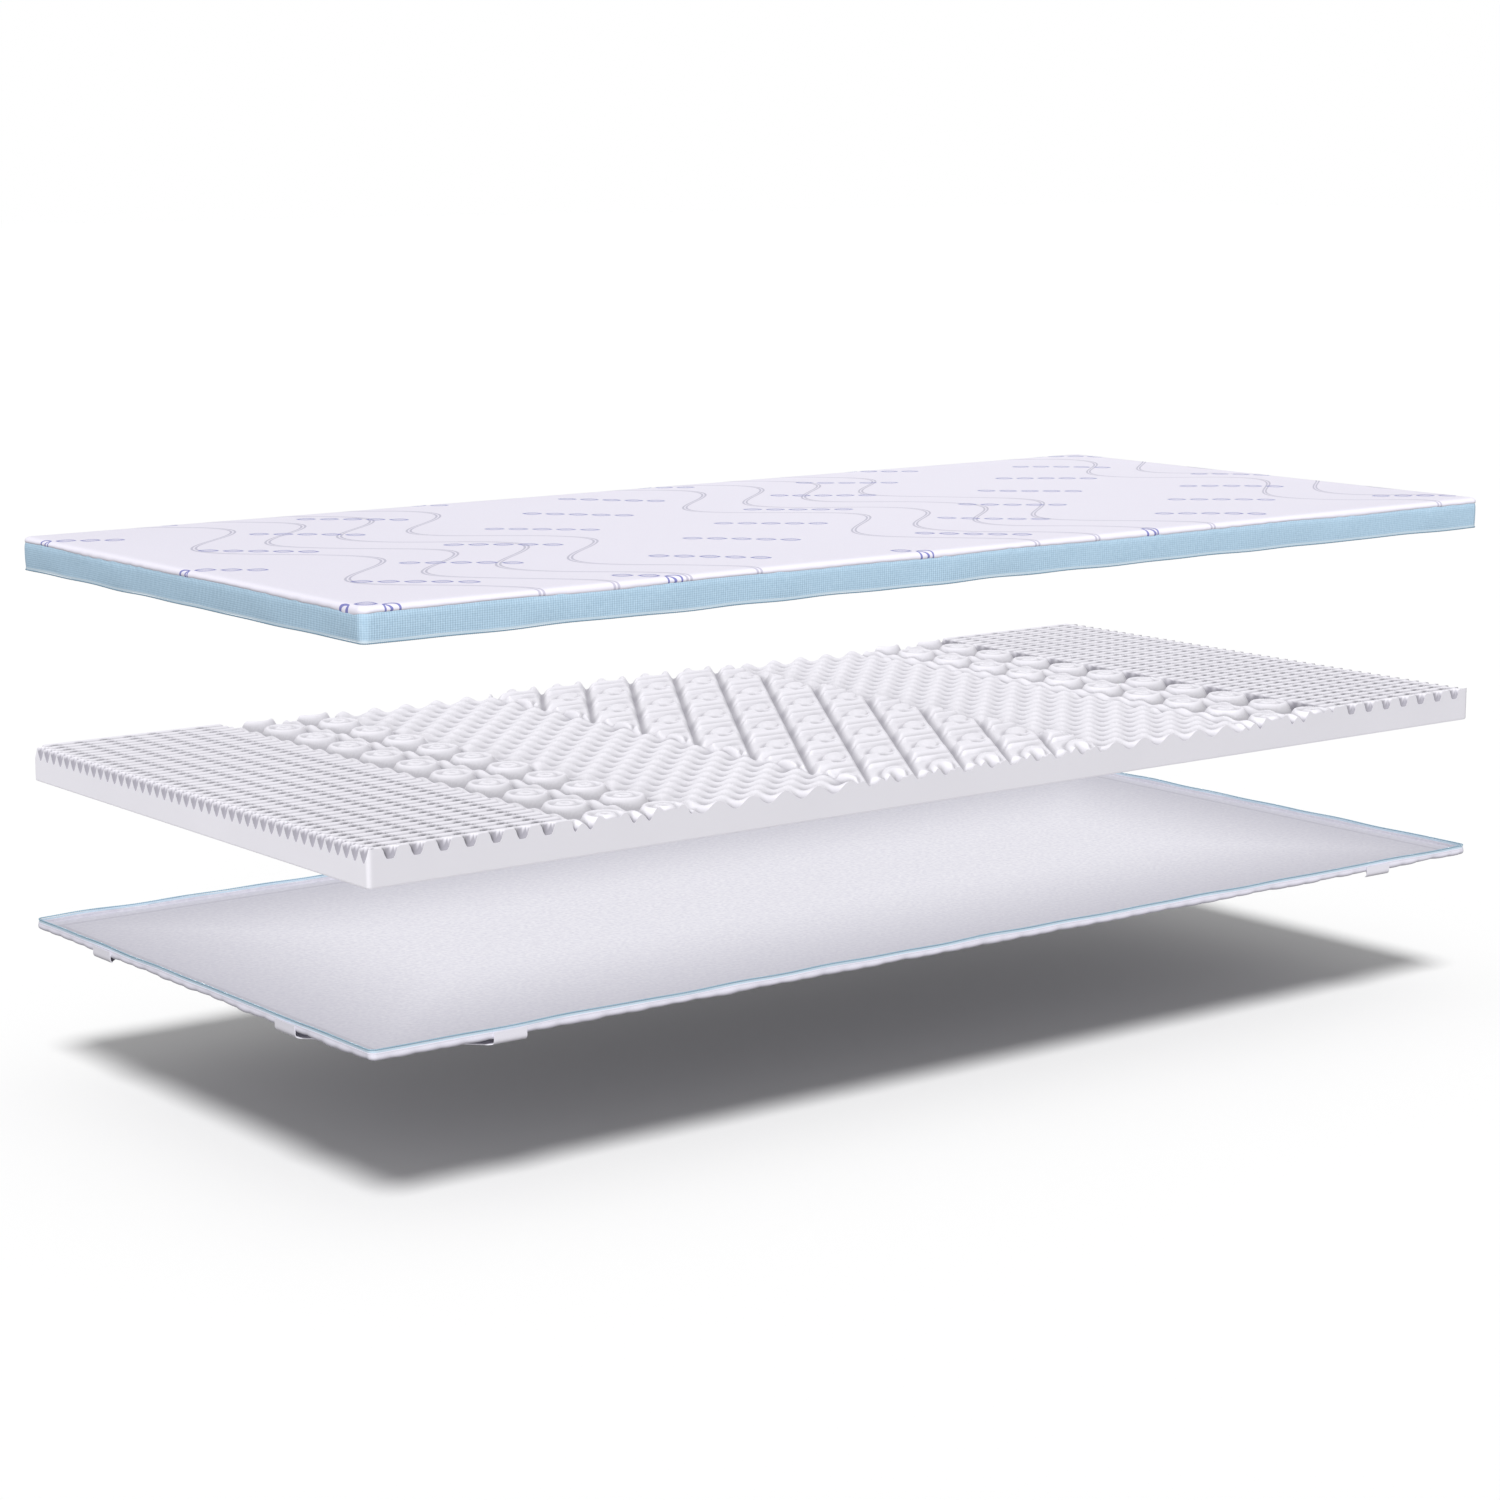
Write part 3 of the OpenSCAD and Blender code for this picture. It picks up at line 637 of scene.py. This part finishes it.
def waviness(along, total, waves):
    """Sum of the waves at a distance along the outline."""
    out = np.zeros_like(along)
    for length, phase, size in waves:
        turns = max(1, round(total / length))
        out += size * np.sin(2 * math.pi * turns * along / total + phase)
    return out / math.sqrt(len(waves))


def slack_over(x, y, waves):
    """Slow hills and hollows over the plan."""
    out = np.zeros_like(x)
    for length, phase, size in waves:
        turn = phase * 3
        along = x * math.cos(turn) + y * math.sin(turn)
        out = out + size * np.sin(2 * math.pi * along / length + phase)
    return out / math.sqrt(len(waves))


# %% [markdown]
# ## Sheets over the whole plan
# The cover's top, the fleece and the quilted underside span the whole plan and bend at the edge. They lie
# flat or are stretched, so a cloth simulation would change little. We draw such a sheet as rings instead:
# the outline walk, pulled in step by step until it closes on the middle line. Near the edge the rings
# follow a curved section, further in they only carry the slack of the fabric.

# %% Ringed sheet
# How far in the inner rings lie, in millimetres
INNER_STEPS = [450, 410, 370, 330, 290, 250, 215, 180, 150, 120, 95, 72, 54, 42, 33]
SAME_POINT = 0.01 * MM


def inset(walk, half_x, half_y, depth):
    """The outline walk pulled in by the same distance from all sides; negative depths lie outside."""
    # Near the outline the round corners move along their own diagonal by no more than the sides do
    corner = 1 / (np.abs(walk[:, 2:3]) + np.abs(walk[:, 3:4]))
    depth = depth * (corner + (1 - corner) * smooth_step(depth, 8 * MM, 30 * MM))
    flat_x = walk[:, 0:1] * (1 - np.maximum(depth, 0) / half_x)
    flat_y = walk[:, 1:2] * (1 - np.maximum(depth, 0) / half_y)
    out = np.minimum(depth, 0)
    return flat_x - walk[:, 2:3] * out, flat_y - walk[:, 3:4] * out


def level_part(height):
    """The inner rings of a section, from the middle out, at one height in millimetres."""
    return [(step, height) for step in INNER_STEPS]


def spread(shape, walk, base_z):
    """A section in millimetres, repeated at every stop; its first and last points meet in the middle."""
    depth = np.tile(shape[None, :, 0] * MM, (len(walk), 1))
    depth[:, [0, -1]] = walk[:, 1].max()
    height = np.tile(base_z + shape[None, :, 1] * MM, (len(walk), 1))
    return depth, height


def ringed_sheet(name, walk, total, section):
    """Closed sheet: section(walk) gives inset and height, from the underside's middle to the top's."""
    depth, height = section(walk)
    x, y = inset(walk, walk[:, 0].max(), walk[:, 1].max(), depth)
    points = np.stack([x, y, height], axis=-1).reshape(-1, 3)
    piece = mesh_object(name, points, quads(*depth.shape, section_closed=False))
    run = np.cumsum(np.hypot(np.diff(depth[0]), np.diff(height[0])))
    map_walk(piece, walk, total, np.concatenate([[0], run]))
    # The innermost rings meet on the middle line, so their points are joined there
    fabric = bmesh.new()
    fabric.from_mesh(piece.data)
    bmesh.ops.remove_doubles(fabric, verts=fabric.verts, dist=SAME_POINT)
    fabric.to_mesh(piece.data)
    fabric.free()
    return piece


# %% [markdown]
# ## The base tray
# A quilted skin goes underneath and up round the edge, where its stitches pull it into shallow scallops.
# Fleece lines the inside and slopes up to meet the rim. Half of the zip runs along the rim. One function
# gives the rim's rise and fall, and all that is sewn to it follows.

# %% The tray's outline
under_low, under_high = box_of("base_underside")
lining_low, lining_high = box_of("base_lining")
TRAY_CORNER = 10 * MM
tray_walk, tray_total = walk_round(under_low, under_high, TRAY_CORNER)
tray_waves = ripples(9, 70 * MM, 300 * MM)
rim_waves = ripples(7, 90 * MM, 420 * MM)


def rim_lift(along, total):
    """Height change of the tray's rim along the outline: the fabric isn't cut to a ruler."""
    return 0.9 * MM * waviness(along, total, rim_waves)


# %% Quilted skin
QUILT_PITCH = 36 * MM
# Inset and height in millimetres, round the edge, over the rim and back inside
SKIN_EDGE = [
    (24, 0.0), (16, -0.2), (9, -0.2), (5, 0.2), (2.2, 1.2), (0.6, 2.6), (0.0, 4.2), (0.3, 6.0),
    (0.9, 7.6), (1.2, 8.6), (1.0, 9.4), (1.3, 10.2), (2.0, 10.5), (2.8, 10.3), (3.2, 9.6), (3.3, 8.0),
    (3.6, 6.0), (6.0, 4.2),
]
HANGING_POINTS = len(INNER_STEPS) + 7


def skin_section(walk):
    along = walk[:, 4:5]
    scallop = 1 - np.abs(np.sin(math.pi * along / QUILT_PITCH)) ** 0.6
    slack = waviness(along, tray_total, tray_waves)
    below = [(step, 0.6 if step > 60 else 0.2) for step in INNER_STEPS]
    shape = np.array(below + SKIN_EDGE + level_part(3.3)[::-1])
    depth, height = spread(shape, walk, under_low.z)
    ins, rise = shape[:, 0], shape[:, 1]
    # Stitches pull the outer wall in, the rim wanders, and the lower edge hangs down between stitches
    wall = np.exp(-((rise - 3.6) / 3.2) ** 2) * (ins < 6)
    depth += (1.5 * scallop - 0.5 * slack) * MM * wall[None, :]
    height += rim_lift(along, tray_total) * np.clip(rise[None, :] / 10, 0, 1) * (ins[None, :] < 6)
    hang = np.exp(-((rise - 1.0) / 2.5) ** 2) * (ins < 20) * (np.arange(len(shape)) < HANGING_POINTS)
    height -= (0.9 + 0.8 * slack - 1.1 * scallop) * MM * hang[None, :]
    return depth, height


quilted_skin = ringed_sheet("quilted_skin", tray_walk, tray_total, skin_section)

# %% Fleece lining
FLEECE_LEVEL = lining_low.z + 1.0 * MM
# Inset and height over that level in millimetres. The middle lies a little lower than the rim's foot, so
# that the core's edge clears the slope when it is seated.
FLEECE_EDGE = [
    (24, -2.3), (12, -1.9), (8, -1.4), (5.8, -0.9), (4.3, 0.1), (3.8, 2.6), (3.7, 3.9), (3.9, 4.3),
    (4.1, 4.1), (4.3, 2.4), (4.5, 0.7), (5.0, 0.0), (9.5, -0.3), (13, -0.5), (18, -0.9), (22, -1.2),
    (25, -1.4), (28, -1.5),
]
# Eighteen random numbers are passed over; the waves further down were chosen after them
rng.random(18)


def fleece_section(walk):
    along = walk[:, 4:5]
    shape = np.array(level_part(-2.4) + FLEECE_EDGE + level_part(-1.5)[::-1])
    depth, height = spread(shape, walk, FLEECE_LEVEL)
    slack = waviness(along, tray_total, tray_waves)
    lift = rim_lift(along, tray_total) + 0.25 * MM * slack
    height += lift * np.clip(shape[None, :, 1] / 4, 0, 1)
    return depth, height


fleece = ringed_sheet("fleece_lining", tray_walk, tray_total, fleece_section)

# %% [markdown]
# ## The zip
# Each half of the zip is a woven tape with a spiral of plastic wire sewn along its edge. A true spiral of
# this length would take hundreds of thousands of faces. We carry a small round section along the outline
# instead, and let it swell and shrink every three millimetres, which reads as the spiral's turns.

# %% Zip tape and coil
COIL_PITCH = 3.0 * MM
COIL_SIDES = 8
TAPE_THICKNESS = 1.0 * MM
# Outward and up, as shares of the tape's thickness and height
TAPE_SHAPE = np.array([(0, 0), (0, 0.5), (0, 1), (-1, 1), (-1, 0.5), (-1, 0)])


def tape_round(name, node):
    low, high = box_of(node)
    walk, total = walk_round(low, high, TRAY_CORNER)

    def section(stops):
        height = low.z + TAPE_SHAPE[None, :, 1] * (high.z - low.z) + rim_lift(stops[:, 4:5], total)
        return np.broadcast_to(TAPE_SHAPE[None, :, 0] * TAPE_THICKNESS, height.shape), height

    return carry(name, walk, total, section)


def coil_round(name, node):
    low, high = box_of(node)
    walk, total = walk_round(low, high, TRAY_CORNER, COIL_PITCH / 4)
    radius = (high.z - low.z) / 2

    def section(stops):
        along = stops[:, 4:5]
        turn = 2 * math.pi * np.arange(COIL_SIDES)[None, :] / COIL_SIDES
        swell = 0.86 + 0.14 * np.cos(2 * math.pi * along / COIL_PITCH)
        outward = -radius + radius * swell * np.cos(turn) * 1.1
        return outward, (low.z + high.z) / 2 + radius * swell * np.sin(turn) + rim_lift(along, total)

    return carry(name, walk, total, section)


base_tape = tape_round("base_zip_ribbon", "base_zip_tape")
base_coil = coil_round("base_zip_spiral", "base_zip_coil")

# %% [markdown]
# ## The cover
# The cover is a knitted top with its edge rolled over, a ribbed mesh border that bows out a little, and the
# other half of the zip. The hem follows the tray's rim, so that the halves meet when the topper is closed.

# %% The cover's outline
top_low, top_high = box_of("cover_top_panel")
border_low, border_high = box_of("cover_border")
LONG, WIDE = top_high.x - top_low.x, top_high.y - top_low.y
COVER_CORNER = 12 * MM
cover_walk, cover_total = walk_round(top_low, top_high, COVER_CORNER)
hem_waves = ripples(8, 110 * MM, 520 * MM)
pucker_waves = ripples(10, 24 * MM, 60 * MM)
crown_waves = ripples(9, 260 * MM, 900 * MM)
bow_waves = ripples(9, 80 * MM, 400 * MM)
SEAM_SWING = 0.9 * MM
DIP_PLACE, DIP_HALF, DIP_DEPTH = cover_total - LONG - 16 * MM, 26 * MM, 5 * MM


def seam_drop(along):
    """How far the knit comes down over the mesh border; it dips beside the front left corner."""
    dip = np.exp(-((along - DIP_PLACE) / DIP_HALF) ** 2)
    return SEAM_SWING * waviness(along, cover_total, hem_waves[::-1]) + DIP_DEPTH * dip


# %% Knitted top
# Inset, and height over the panel's top, in millimetres
TOP_EDGE = [
    (24, -4.0), (12, -4.4), (6, -5.6), (3.0, -7.6), (1.7, -9.4), (0.9, -9.8), (0.2, -9.2), (-0.4, -7.6),
    (-0.3, -5.8), (0.4, -4.2), (1.8, -2.7), (4.2, -1.5), (7.5, -0.8), (12, -0.4), (18, -0.2), (25, 0.0),
]


def top_section(walk):
    along = walk[:, 4:5]
    shape = np.array(level_part(-4.0) + TOP_EDGE + level_part(0.0)[::-1])
    depth, height = spread(shape, walk, top_high.z)
    low_edge = np.clip(-(shape[:, 1] + 2) / 7.8, 0, 1) * (shape[:, 0] < 6)
    height -= seam_drop(along) * low_edge[None, :]
    depth += 0.35 * MM * waviness(along, cover_total, pucker_waves) * low_edge[None, :]
    # Stuffing under the knit: higher in the middle, with slow hollows
    x, y = inset(walk, walk[:, 0].max(), walk[:, 1].max(), depth)
    inner = smooth_step(depth, 10 * MM, 90 * MM)
    height += inner * (1.2 * MM * slack_over(x, y, crown_waves) + 0.8 * MM)
    return depth, height


knit_top = ringed_sheet("knit_top", cover_walk, cover_total, top_section)

# %% Mesh border and the cover's half of the zip
BORDER_POINTS = 15
BORDER_THICKNESS = 2.0 * MM


def border_section(walk):
    along = walk[:, 4:5]
    swell = waviness(along, cover_total, bow_waves)
    pucker = waviness(along, cover_total, pucker_waves)
    rise = np.linspace(0, 1, BORDER_POINTS)[None, :]
    bow = np.sin(math.pi * rise) ** 0.8
    outer = (0.6 + 0.5 * swell) * MM * bow + 0.35 * MM * pucker * np.exp(-((1 - rise) / 0.2) ** 2)
    outer = outer - 1.6 * MM * smooth_step(rise, 0.72, 1.0)
    outer = outer + 0.5 * MM * waviness(along, cover_total, hem_waves) * (1 - rise)
    tall = border_high.z - border_low.z
    outer_z = border_low.z + tall * rise + rim_lift(along, cover_total) * (1 - rise)
    outward = np.concatenate([outer, outer[:, ::-1] - BORDER_THICKNESS], axis=1)
    return outward, np.concatenate([outer_z, outer_z[:, ::-1]], axis=1)


mesh_border = carry("ribbed_border", cover_walk, cover_total, border_section)
cover_tape = tape_round("cover_zip_ribbon", "cover_zip_tape")
cover_coil = coil_round("cover_zip_spiral", "cover_zip_coil")

# %% [markdown]
# ## The corner straps
# Four elastic straps run slack across the corners under the tray, with their ends sewn up the rim. Each
# strap is one woven band that is a little narrower and hangs a little lower in the middle. Its centre line
# goes down the short side, under the tray to the long side, and up again. A flat section is carried along
# that line and turned with it.

# %% Straps
STRAP_T = 1.5 * MM
# Distances of the band's two edges from the corner
STRAP_NEAR, STRAP_FAR = 180 * MM, 230 * MM
STRAP_HALF = (STRAP_FAR - STRAP_NEAR) / 2
STRAP_PROUD = 0.8 * MM
# Height over the tray's foot and distance inward where the band turns under, in millimetres
TURN_UNDER = ((3.0, 0.7), (1.4, 1.8), (0.5, 3.4))


def turned_up(place, inwards, across, foot):
    """One end of a band, from the rim down to the foot."""
    rows = []
    for z in np.linspace(lining_high.z - 1.2 * MM, foot + 5 * MM, 5):
        rows.append((place + Vector((0, 0, z)), across, STRAP_HALF))
    for z, inward in TURN_UNDER:
        under = place + inwards * (inward * MM)
        rows.append((under + Vector((0, 0, foot + z * MM)), across, STRAP_HALF))
    return rows


def strap_line(foot, side_x, side_y):
    """Places along the band's middle, with the direction across the band and half its width."""
    middle = (STRAP_FAR + STRAP_NEAR) / 2
    corner_x, corner_y = side_x * under_high.x, side_y * under_high.y
    start = Vector((corner_x + side_x * STRAP_PROUD, corner_y - side_y * middle, 0))
    end = Vector((corner_x - side_x * middle, corner_y + side_y * STRAP_PROUD, 0))
    to_x, to_y = Vector((-side_x, 0, 0)), Vector((0, -side_y, 0))
    rows = turned_up(start, to_x, to_y, foot)
    for t in np.linspace(0.03, 0.97, 31):
        across = to_y.lerp(to_x, float(smooth_step(np.array(t), 0.0, 1.0))).normalized()
        wide = STRAP_HALF * (1 - 0.28 * math.sin(math.pi * t))
        sag = 0.5 * MM * math.cos(6 * math.pi * t) * math.sin(math.pi * t)
        place = start.lerp(end, t) + Vector((0, 0, foot + 0.2 * MM + sag * 0.5))
        rows.append((place, across, wide))
    return rows + turned_up(end, to_y, to_x, foot)[::-1]


def strap_piece(node):
    low, high = box_of(node)
    side_x = -1 if low.x + high.x < 0 else 1
    side_y = -1 if low.y + high.y < 0 else 1
    rows = strap_line(low.z + STRAP_T / 2, side_x, side_y)
    centre, across, wide = (np.array(values) for values in zip(*rows))
    normal = np.cross(np.gradient(centre, axis=0), across)
    normal /= np.linalg.norm(normal, axis=1)[:, None]
    thick = (normal * (STRAP_T / 2 * 0.8))[:, None, :]
    reach = (wide[:, None] * np.linspace(-1, 1, 9)[None, :])[..., None]
    upper = centre[:, None, :] + across[:, None, :] * reach + thick
    loop = np.concatenate([upper, upper[:, ::-1, :] - 2 * thick], axis=1)
    count, ring = loop.shape[:2]
    ends = [np.arange(ring)[None, :], ((count - 1) * ring + np.arange(ring))[None, ::-1]]
    faces = quads(count, ring, walk_closed=False)
    return mesh_object(node + "_band", loop.reshape(-1, 3), faces, *ends)


STRAP_NODES = ("strap_front_left", "strap_front_right", "strap_back_left", "strap_back_right")
straps = {node: strap_piece(node) for node in STRAP_NODES}

# %% [markdown]
# ## Foam and fabric materials
# Every fabric gets its weave from procedural patterns: they need no image files and stay sharp at any
# distance. The texture coordinates are the piece's own metres, so a loop of yarn or a rib of mesh has its
# true size. Foam and fleece scatter light, so they are very rough and hardly shine.

# %% Foam
recipe = material_recipe("memory_foam", roughness=0.95, specular=0.15)
pores = recipe.noise(900.0)
clouds = recipe.noise(6.0)
# Painted shade: deep hollows of the relief are mixed towards a dark grey, 7B7885
hollow = recipe.node("ShaderNodeAttribute", attribute_name="hollow").outputs["Fac"]
crest = recipe.mix(clouds, "E8E6ED", "F0EEF5")
foam_material = recipe.done(recipe.mix(hollow, crest, "7B7885"), pores, 0.35, 0.0004)

# %% [markdown]
# Fleece is a short pile with light and dark specks. It gets painted shade towards the rim, and a line of
# painted shade runs all round, a little way in, at the foot of the slope up to the rim.

# %% Fleece
# Distances from the edge in metres, and how strong the painted shade towards the rim and along the crease
# is
SHADE_FROM, SHADE_TO, SHADE_AT_EDGE = -0.02, 0.36, 0.55
CREASE_INSET, CREASE_HALF, CREASE_SHADE = 0.0235, 0.0035, 0.2
recipe = material_recipe("fleece", roughness=0.9, specular=0.1)
recipe.feed(recipe.shader, {"Sheen Weight": 0.2, "Sheen Roughness": 0.5})
pile = recipe.mix(recipe.noise(170.0, 4.0), "CECCDA", "FCFBFF")
spot_x, spot_y = recipe.split(recipe.place())
from_ends, from_sides = lining_high.x - abs(spot_x), lining_high.y - abs(spot_y)
from_edge = recipe.maths("MINIMUM", from_ends, from_sides)
# Painted shade: the pile is mixed towards A5A3B1 near the rim
shade = {"From Min": SHADE_FROM, "From Max": SHADE_TO, "To Min": SHADE_AT_EDGE, "To Max": 0.0}
shade["Value"] = from_edge
fall = recipe.node("ShaderNodeMapRange", shade, interpolation_type="SMOOTHSTEP")
pile = recipe.mix(fall.outputs["Result"], pile, "A5A3B1")
# Painted shade: a thin darker line at the foot of the slope up to the rim
painted_crease_shade = (abs(from_edge - CREASE_INSET) < CREASE_HALF) * CREASE_SHADE
pile = recipe.mix(painted_crease_shade, pile, "7F7D8C")
fleece_material = recipe.done(pile, recipe.noise(420.0, 4.0), 0.5, 0.0006)


# %% [markdown]
# The quilted skin, the elastic straps and the parts of the zip are all one colour with a fine grain: yarn,
# rubber thread, plastic or brushed metal. One function makes them all. The coil under the cover's hem lies
# in a shade that the lamps don't give it, so it gets a darker plastic.

# %% Fabrics and metal with a fine grain
def grained(name, dark, light, grain, roughness, depth, specular=0.5, strength=0.3, metallic=0.0):
    """The grain is the number of specks to a metre, the depth its bump's height in metres."""
    recipe = material_recipe(name, roughness, specular, metallic)
    specks = recipe.noise(grain)
    return recipe.done(recipe.mix(specks, dark, light), specks, strength, depth)


quilt_material = grained("quilted_knit", "D2D0DD", "E2E0EB", 600.0, 0.85, 0.0004, 0.2)
elastic_material = grained("elastic_webbing", "DCDAE4", "EBE9F1", 900.0, 0.8, 0.0004, 0.2, 0.4)
tape_material = grained("zip_tape", "B7CDDD", "D1E1ED", 800.0, 0.8, 0.0003)
coil_material = grained("zip_coil", "7FA2B7", "9AB8C9", 500.0, 0.4, 0.0002)
hem_coil_material = grained("zip_coil_shaded", "6A899F", "809DB1", 500.0, 0.4, 0.0002)
metal_material = grained("zip_metal", "BCC0C7", "D6D9DE", 1500.0, 0.3, 0.0001, metallic=1.0)

# %% [markdown]
# The border is a light blue mesh with upright ribs. Modelled ribs would be over a thousand folds, so they
# are a bump. The walk's own texture coordinates carry it: X is metres along the outline, and Y goes once
# round the section.

# %% Ribbed mesh of the border
RIB_MESH = 3.6 * MM
ROWS_ROUND = 28
recipe = material_recipe("ribbed_mesh", roughness=0.75, specular=0.25)
walk_map = recipe.node("ShaderNodeUVMap", uv_map="walk")
walked, risen = recipe.split(walk_map.outputs["UV"])
ribs = recipe.maths("SINE", walked * (2 * math.pi / RIB_MESH))
rows = recipe.maths("SINE", risen * (2 * math.pi * ROWS_ROUND))
shade = ribs * 0.16 + recipe.noise(260.0, 3.0)
mesh_colour = recipe.mix(shade, "A3C0D6", "C0DBEF")
mesh_material = recipe.done(mesh_colour, ribs + rows * 0.4, 0.4, 0.0004)

# %% [markdown]
# The knit carries two woven patterns: faint pairs of wavy lines that run across the topper, and rows of
# small leaves in a violet blue. Both are worked out from the place on the sheet: a cosine bends the lines,
# and a lattice repeats the leaves. All lengths here are in millimetres, from the cover's left and front
# edges.

# %% Wavy lines
WAVE_START = (126, 390)
WAVE_PERIOD, WAVE_SWING = 400, 78
GROUP_STEP, LINES_IN_GROUP = 829, 4
LINE_STEP, PAIR_HALF, LINE_HALF = 114, 3.2, 1.9


def wavy_lines(recipe, x, y):
    """Groups of four double lines that swing from side to side."""
    turn = (y - WAVE_START[1]) * (2 * math.pi / WAVE_PERIOD)
    swing = recipe.maths("COSINE", turn) * WAVE_SWING
    group = (x - swing - WAVE_START[0]) % GROUP_STEP
    offset = group % LINE_STEP - LINE_STEP / 2
    line = abs(abs(offset) - PAIR_HALF) < LINE_HALF
    return line * (group < LINES_IN_GROUP * LINE_STEP)


# %% Rows of leaves
LEAF_STEP = (-150, -126)
LEAF_ROW = (298, -146)
LEAF_LINE = (0.763, -0.646)
FIRST_ROW = (768, 650)
LEAF_PITCH = 34
LEAF_HALF = (15, 12.5)
ROW_HALF = 2.5 * LEAF_PITCH
OUTLINE_WIDTH = 4.0
MIDRIB_HALF = 1.4


def leaf_rows(recipe, x, y):
    """A row of five outlined leaves, each with a midrib, round every point of a slanted lattice."""
    area = LEAF_STEP[0] * LEAF_ROW[1] - LEAF_ROW[0] * LEAF_STEP[1]
    x, y = x - FIRST_ROW[0], y - FIRST_ROW[1]
    step = x * (LEAF_ROW[1] / area) + y * (-LEAF_ROW[0] / area)
    row = x * (-LEAF_STEP[1] / area) + y * (LEAF_STEP[0] / area)
    step = step - recipe.maths("ROUND", step)
    row = row - recipe.maths("ROUND", row)
    local_x = step * LEAF_STEP[0] + row * LEAF_ROW[0]
    local_y = step * LEAF_STEP[1] + row * LEAF_ROW[1]
    along = local_x * LEAF_LINE[0] + local_y * LEAF_LINE[1]
    aside = abs(local_x * -LEAF_LINE[1] + local_y * LEAF_LINE[0])
    place = ((along + ROW_HALF) % LEAF_PITCH - LEAF_PITCH / 2) / LEAF_HALF[0]
    # A leaf is as wide as a parabola allows; its outline is where the width is nearly used up
    room = (1 - place * place) * LEAF_HALF[1] - aside
    drawn = recipe.maths("MAXIMUM", room < OUTLINE_WIDTH, aside < MIDRIB_HALF)
    return (room > 0) * drawn * (abs(along) < ROW_HALF)


# %% Knit of the top
recipe = material_recipe("cooling_knit", roughness=0.8, specular=0.2)
spot_x, spot_y = recipe.split(recipe.place())
plan_x, plan_y = (spot_x - top_low.x) * 1000, (spot_y - top_low.y) * 1000
weave = recipe.noise(500.0)
knit_colour = recipe.mix(weave, "E5E2EF", "F0EDF8")
knit_colour = recipe.mix(wavy_lines(recipe, plan_x, plan_y), knit_colour, "C6C3D4")
knit_colour = recipe.mix(leaf_rows(recipe, plan_x, plan_y), knit_colour, "8284BF")
knit_material = recipe.done(knit_colour, weave, 0.25, 0.0004)

# %% [markdown]
# ## Bodies and slots
# The layers, the zip's slider and its pull tab move, each as one body. Each piece says which plain node it
# replaces, which body it rides on and which material slot it fills. The zip's metal parts keep their shape.

# %% Put the pieces in place
plan = [
    (quilted_skin, "base", "quilt", quilt_material, ("base_underside", "base_wadding")),
    (fleece, "base", "fleece", fleece_material, ("base_lining",)),
    (base_tape, "base", "zip_tape", tape_material, ("base_zip_tape",)),
    (base_coil, "base", "zip_coil", coil_material, ("base_zip_coil",)),
    (foam_core, "core", "foam", foam_material, ("foam_core",)),
    (knit_top, "cover", "knit", knit_material, ("cover_top_panel",)),
    (mesh_border, "cover", "mesh_border", mesh_material, ("cover_border",)),
    (cover_tape, "cover", "zip_tape", tape_material, ("cover_zip_tape",)),
    (cover_coil, "cover", "zip_coil", hem_coil_material, ("cover_zip_coil",)),
]
for node, band in straps.items():
    plan.append((band, "base", "elastic", elastic_material, (node,)))
for piece, body, slot, material, nodes_replaced in plan:
    piece.data.materials.append(material)
    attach(piece, body)
    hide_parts(*nodes_replaced)

METAL_NODES = ("zip_slider", "zip_pull", "base_zip_stops", "cover_zip_stops")
metal_parts = [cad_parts[node] for node in METAL_NODES]
for part in metal_parts:
    for slot in part.material_slots:
        slot.material = metal_material
print("pieces:", len(plan), "new and", len(metal_parts), "plain")

# %% [markdown]
# ## Lamps
# The layers hang over one another only to show them, so each is lit as if it lay alone: a cover that shades
# the foam would hide its relief. Every lamp lights one group of pieces, and only the pieces in its casting
# group throw its shadows. This is Blender's light linking. The fabrics have a large lamp over the left
# front corner and two low ones, front and back, that lift the sides. The foam has the same three, with the
# large one very soft and almost straight above.


# %% Lamps
def gathered(name, *pieces):
    group = bpy.data.collections.new(name)
    for piece in pieces:
        group.objects.link(piece)
    return group


on_base = [piece for piece, body, *rest in plan if body == "base"]
on_cover = [piece for piece, body, *rest in plan if body == "cover"]
for piece, body, *rest in plan:
    piece.visible_diffuse = body == "base"
fabric = gathered("lit_fabric", floor, *on_base, *on_cover, *metal_parts)
tray = gathered("tray_shadows", *on_base)
block = gathered("foam_alone", foam_core)

# Name, direction towards the lamp, energy, apparent size in degrees, lit group, casting group
LAMPS = [
    ("softbox", (-0.52, -0.68, 1.0), 2.64, 15, fabric, tray),
    ("fill", (-0.55, -0.8, 0.05), 0.95, 20, fabric, tray),
    ("foam_softbox", (-0.12, 0.05, 1.0), 2.08, 35, block, block),
    ("foam_fill", (-0.70, -0.72, 0.03), 2.35, 15, block, block),
    ("back_fill", (0.7, 0.8, 0.02), 0.8, 15, fabric, tray),
    ("foam_back_fill", (0.70, 0.72, 0.03), 1.3, 15, block, block),
]
for name, towards, energy, softness, lit, casting in LAMPS:
    data = bpy.data.lights.new(name, "SUN")
    data.energy = energy
    data.angle = math.radians(softness)
    lamp = bpy.data.objects.new(name, data)
    lamp.rotation_euler = Vector(towards).to_track_quat("Z", "Y").to_euler()
    scene.collection.objects.link(lamp)
    lamp.light_linking.receiver_collection = lit
    lamp.light_linking.blocker_collection = casting
print("lamps:", len(LAMPS))
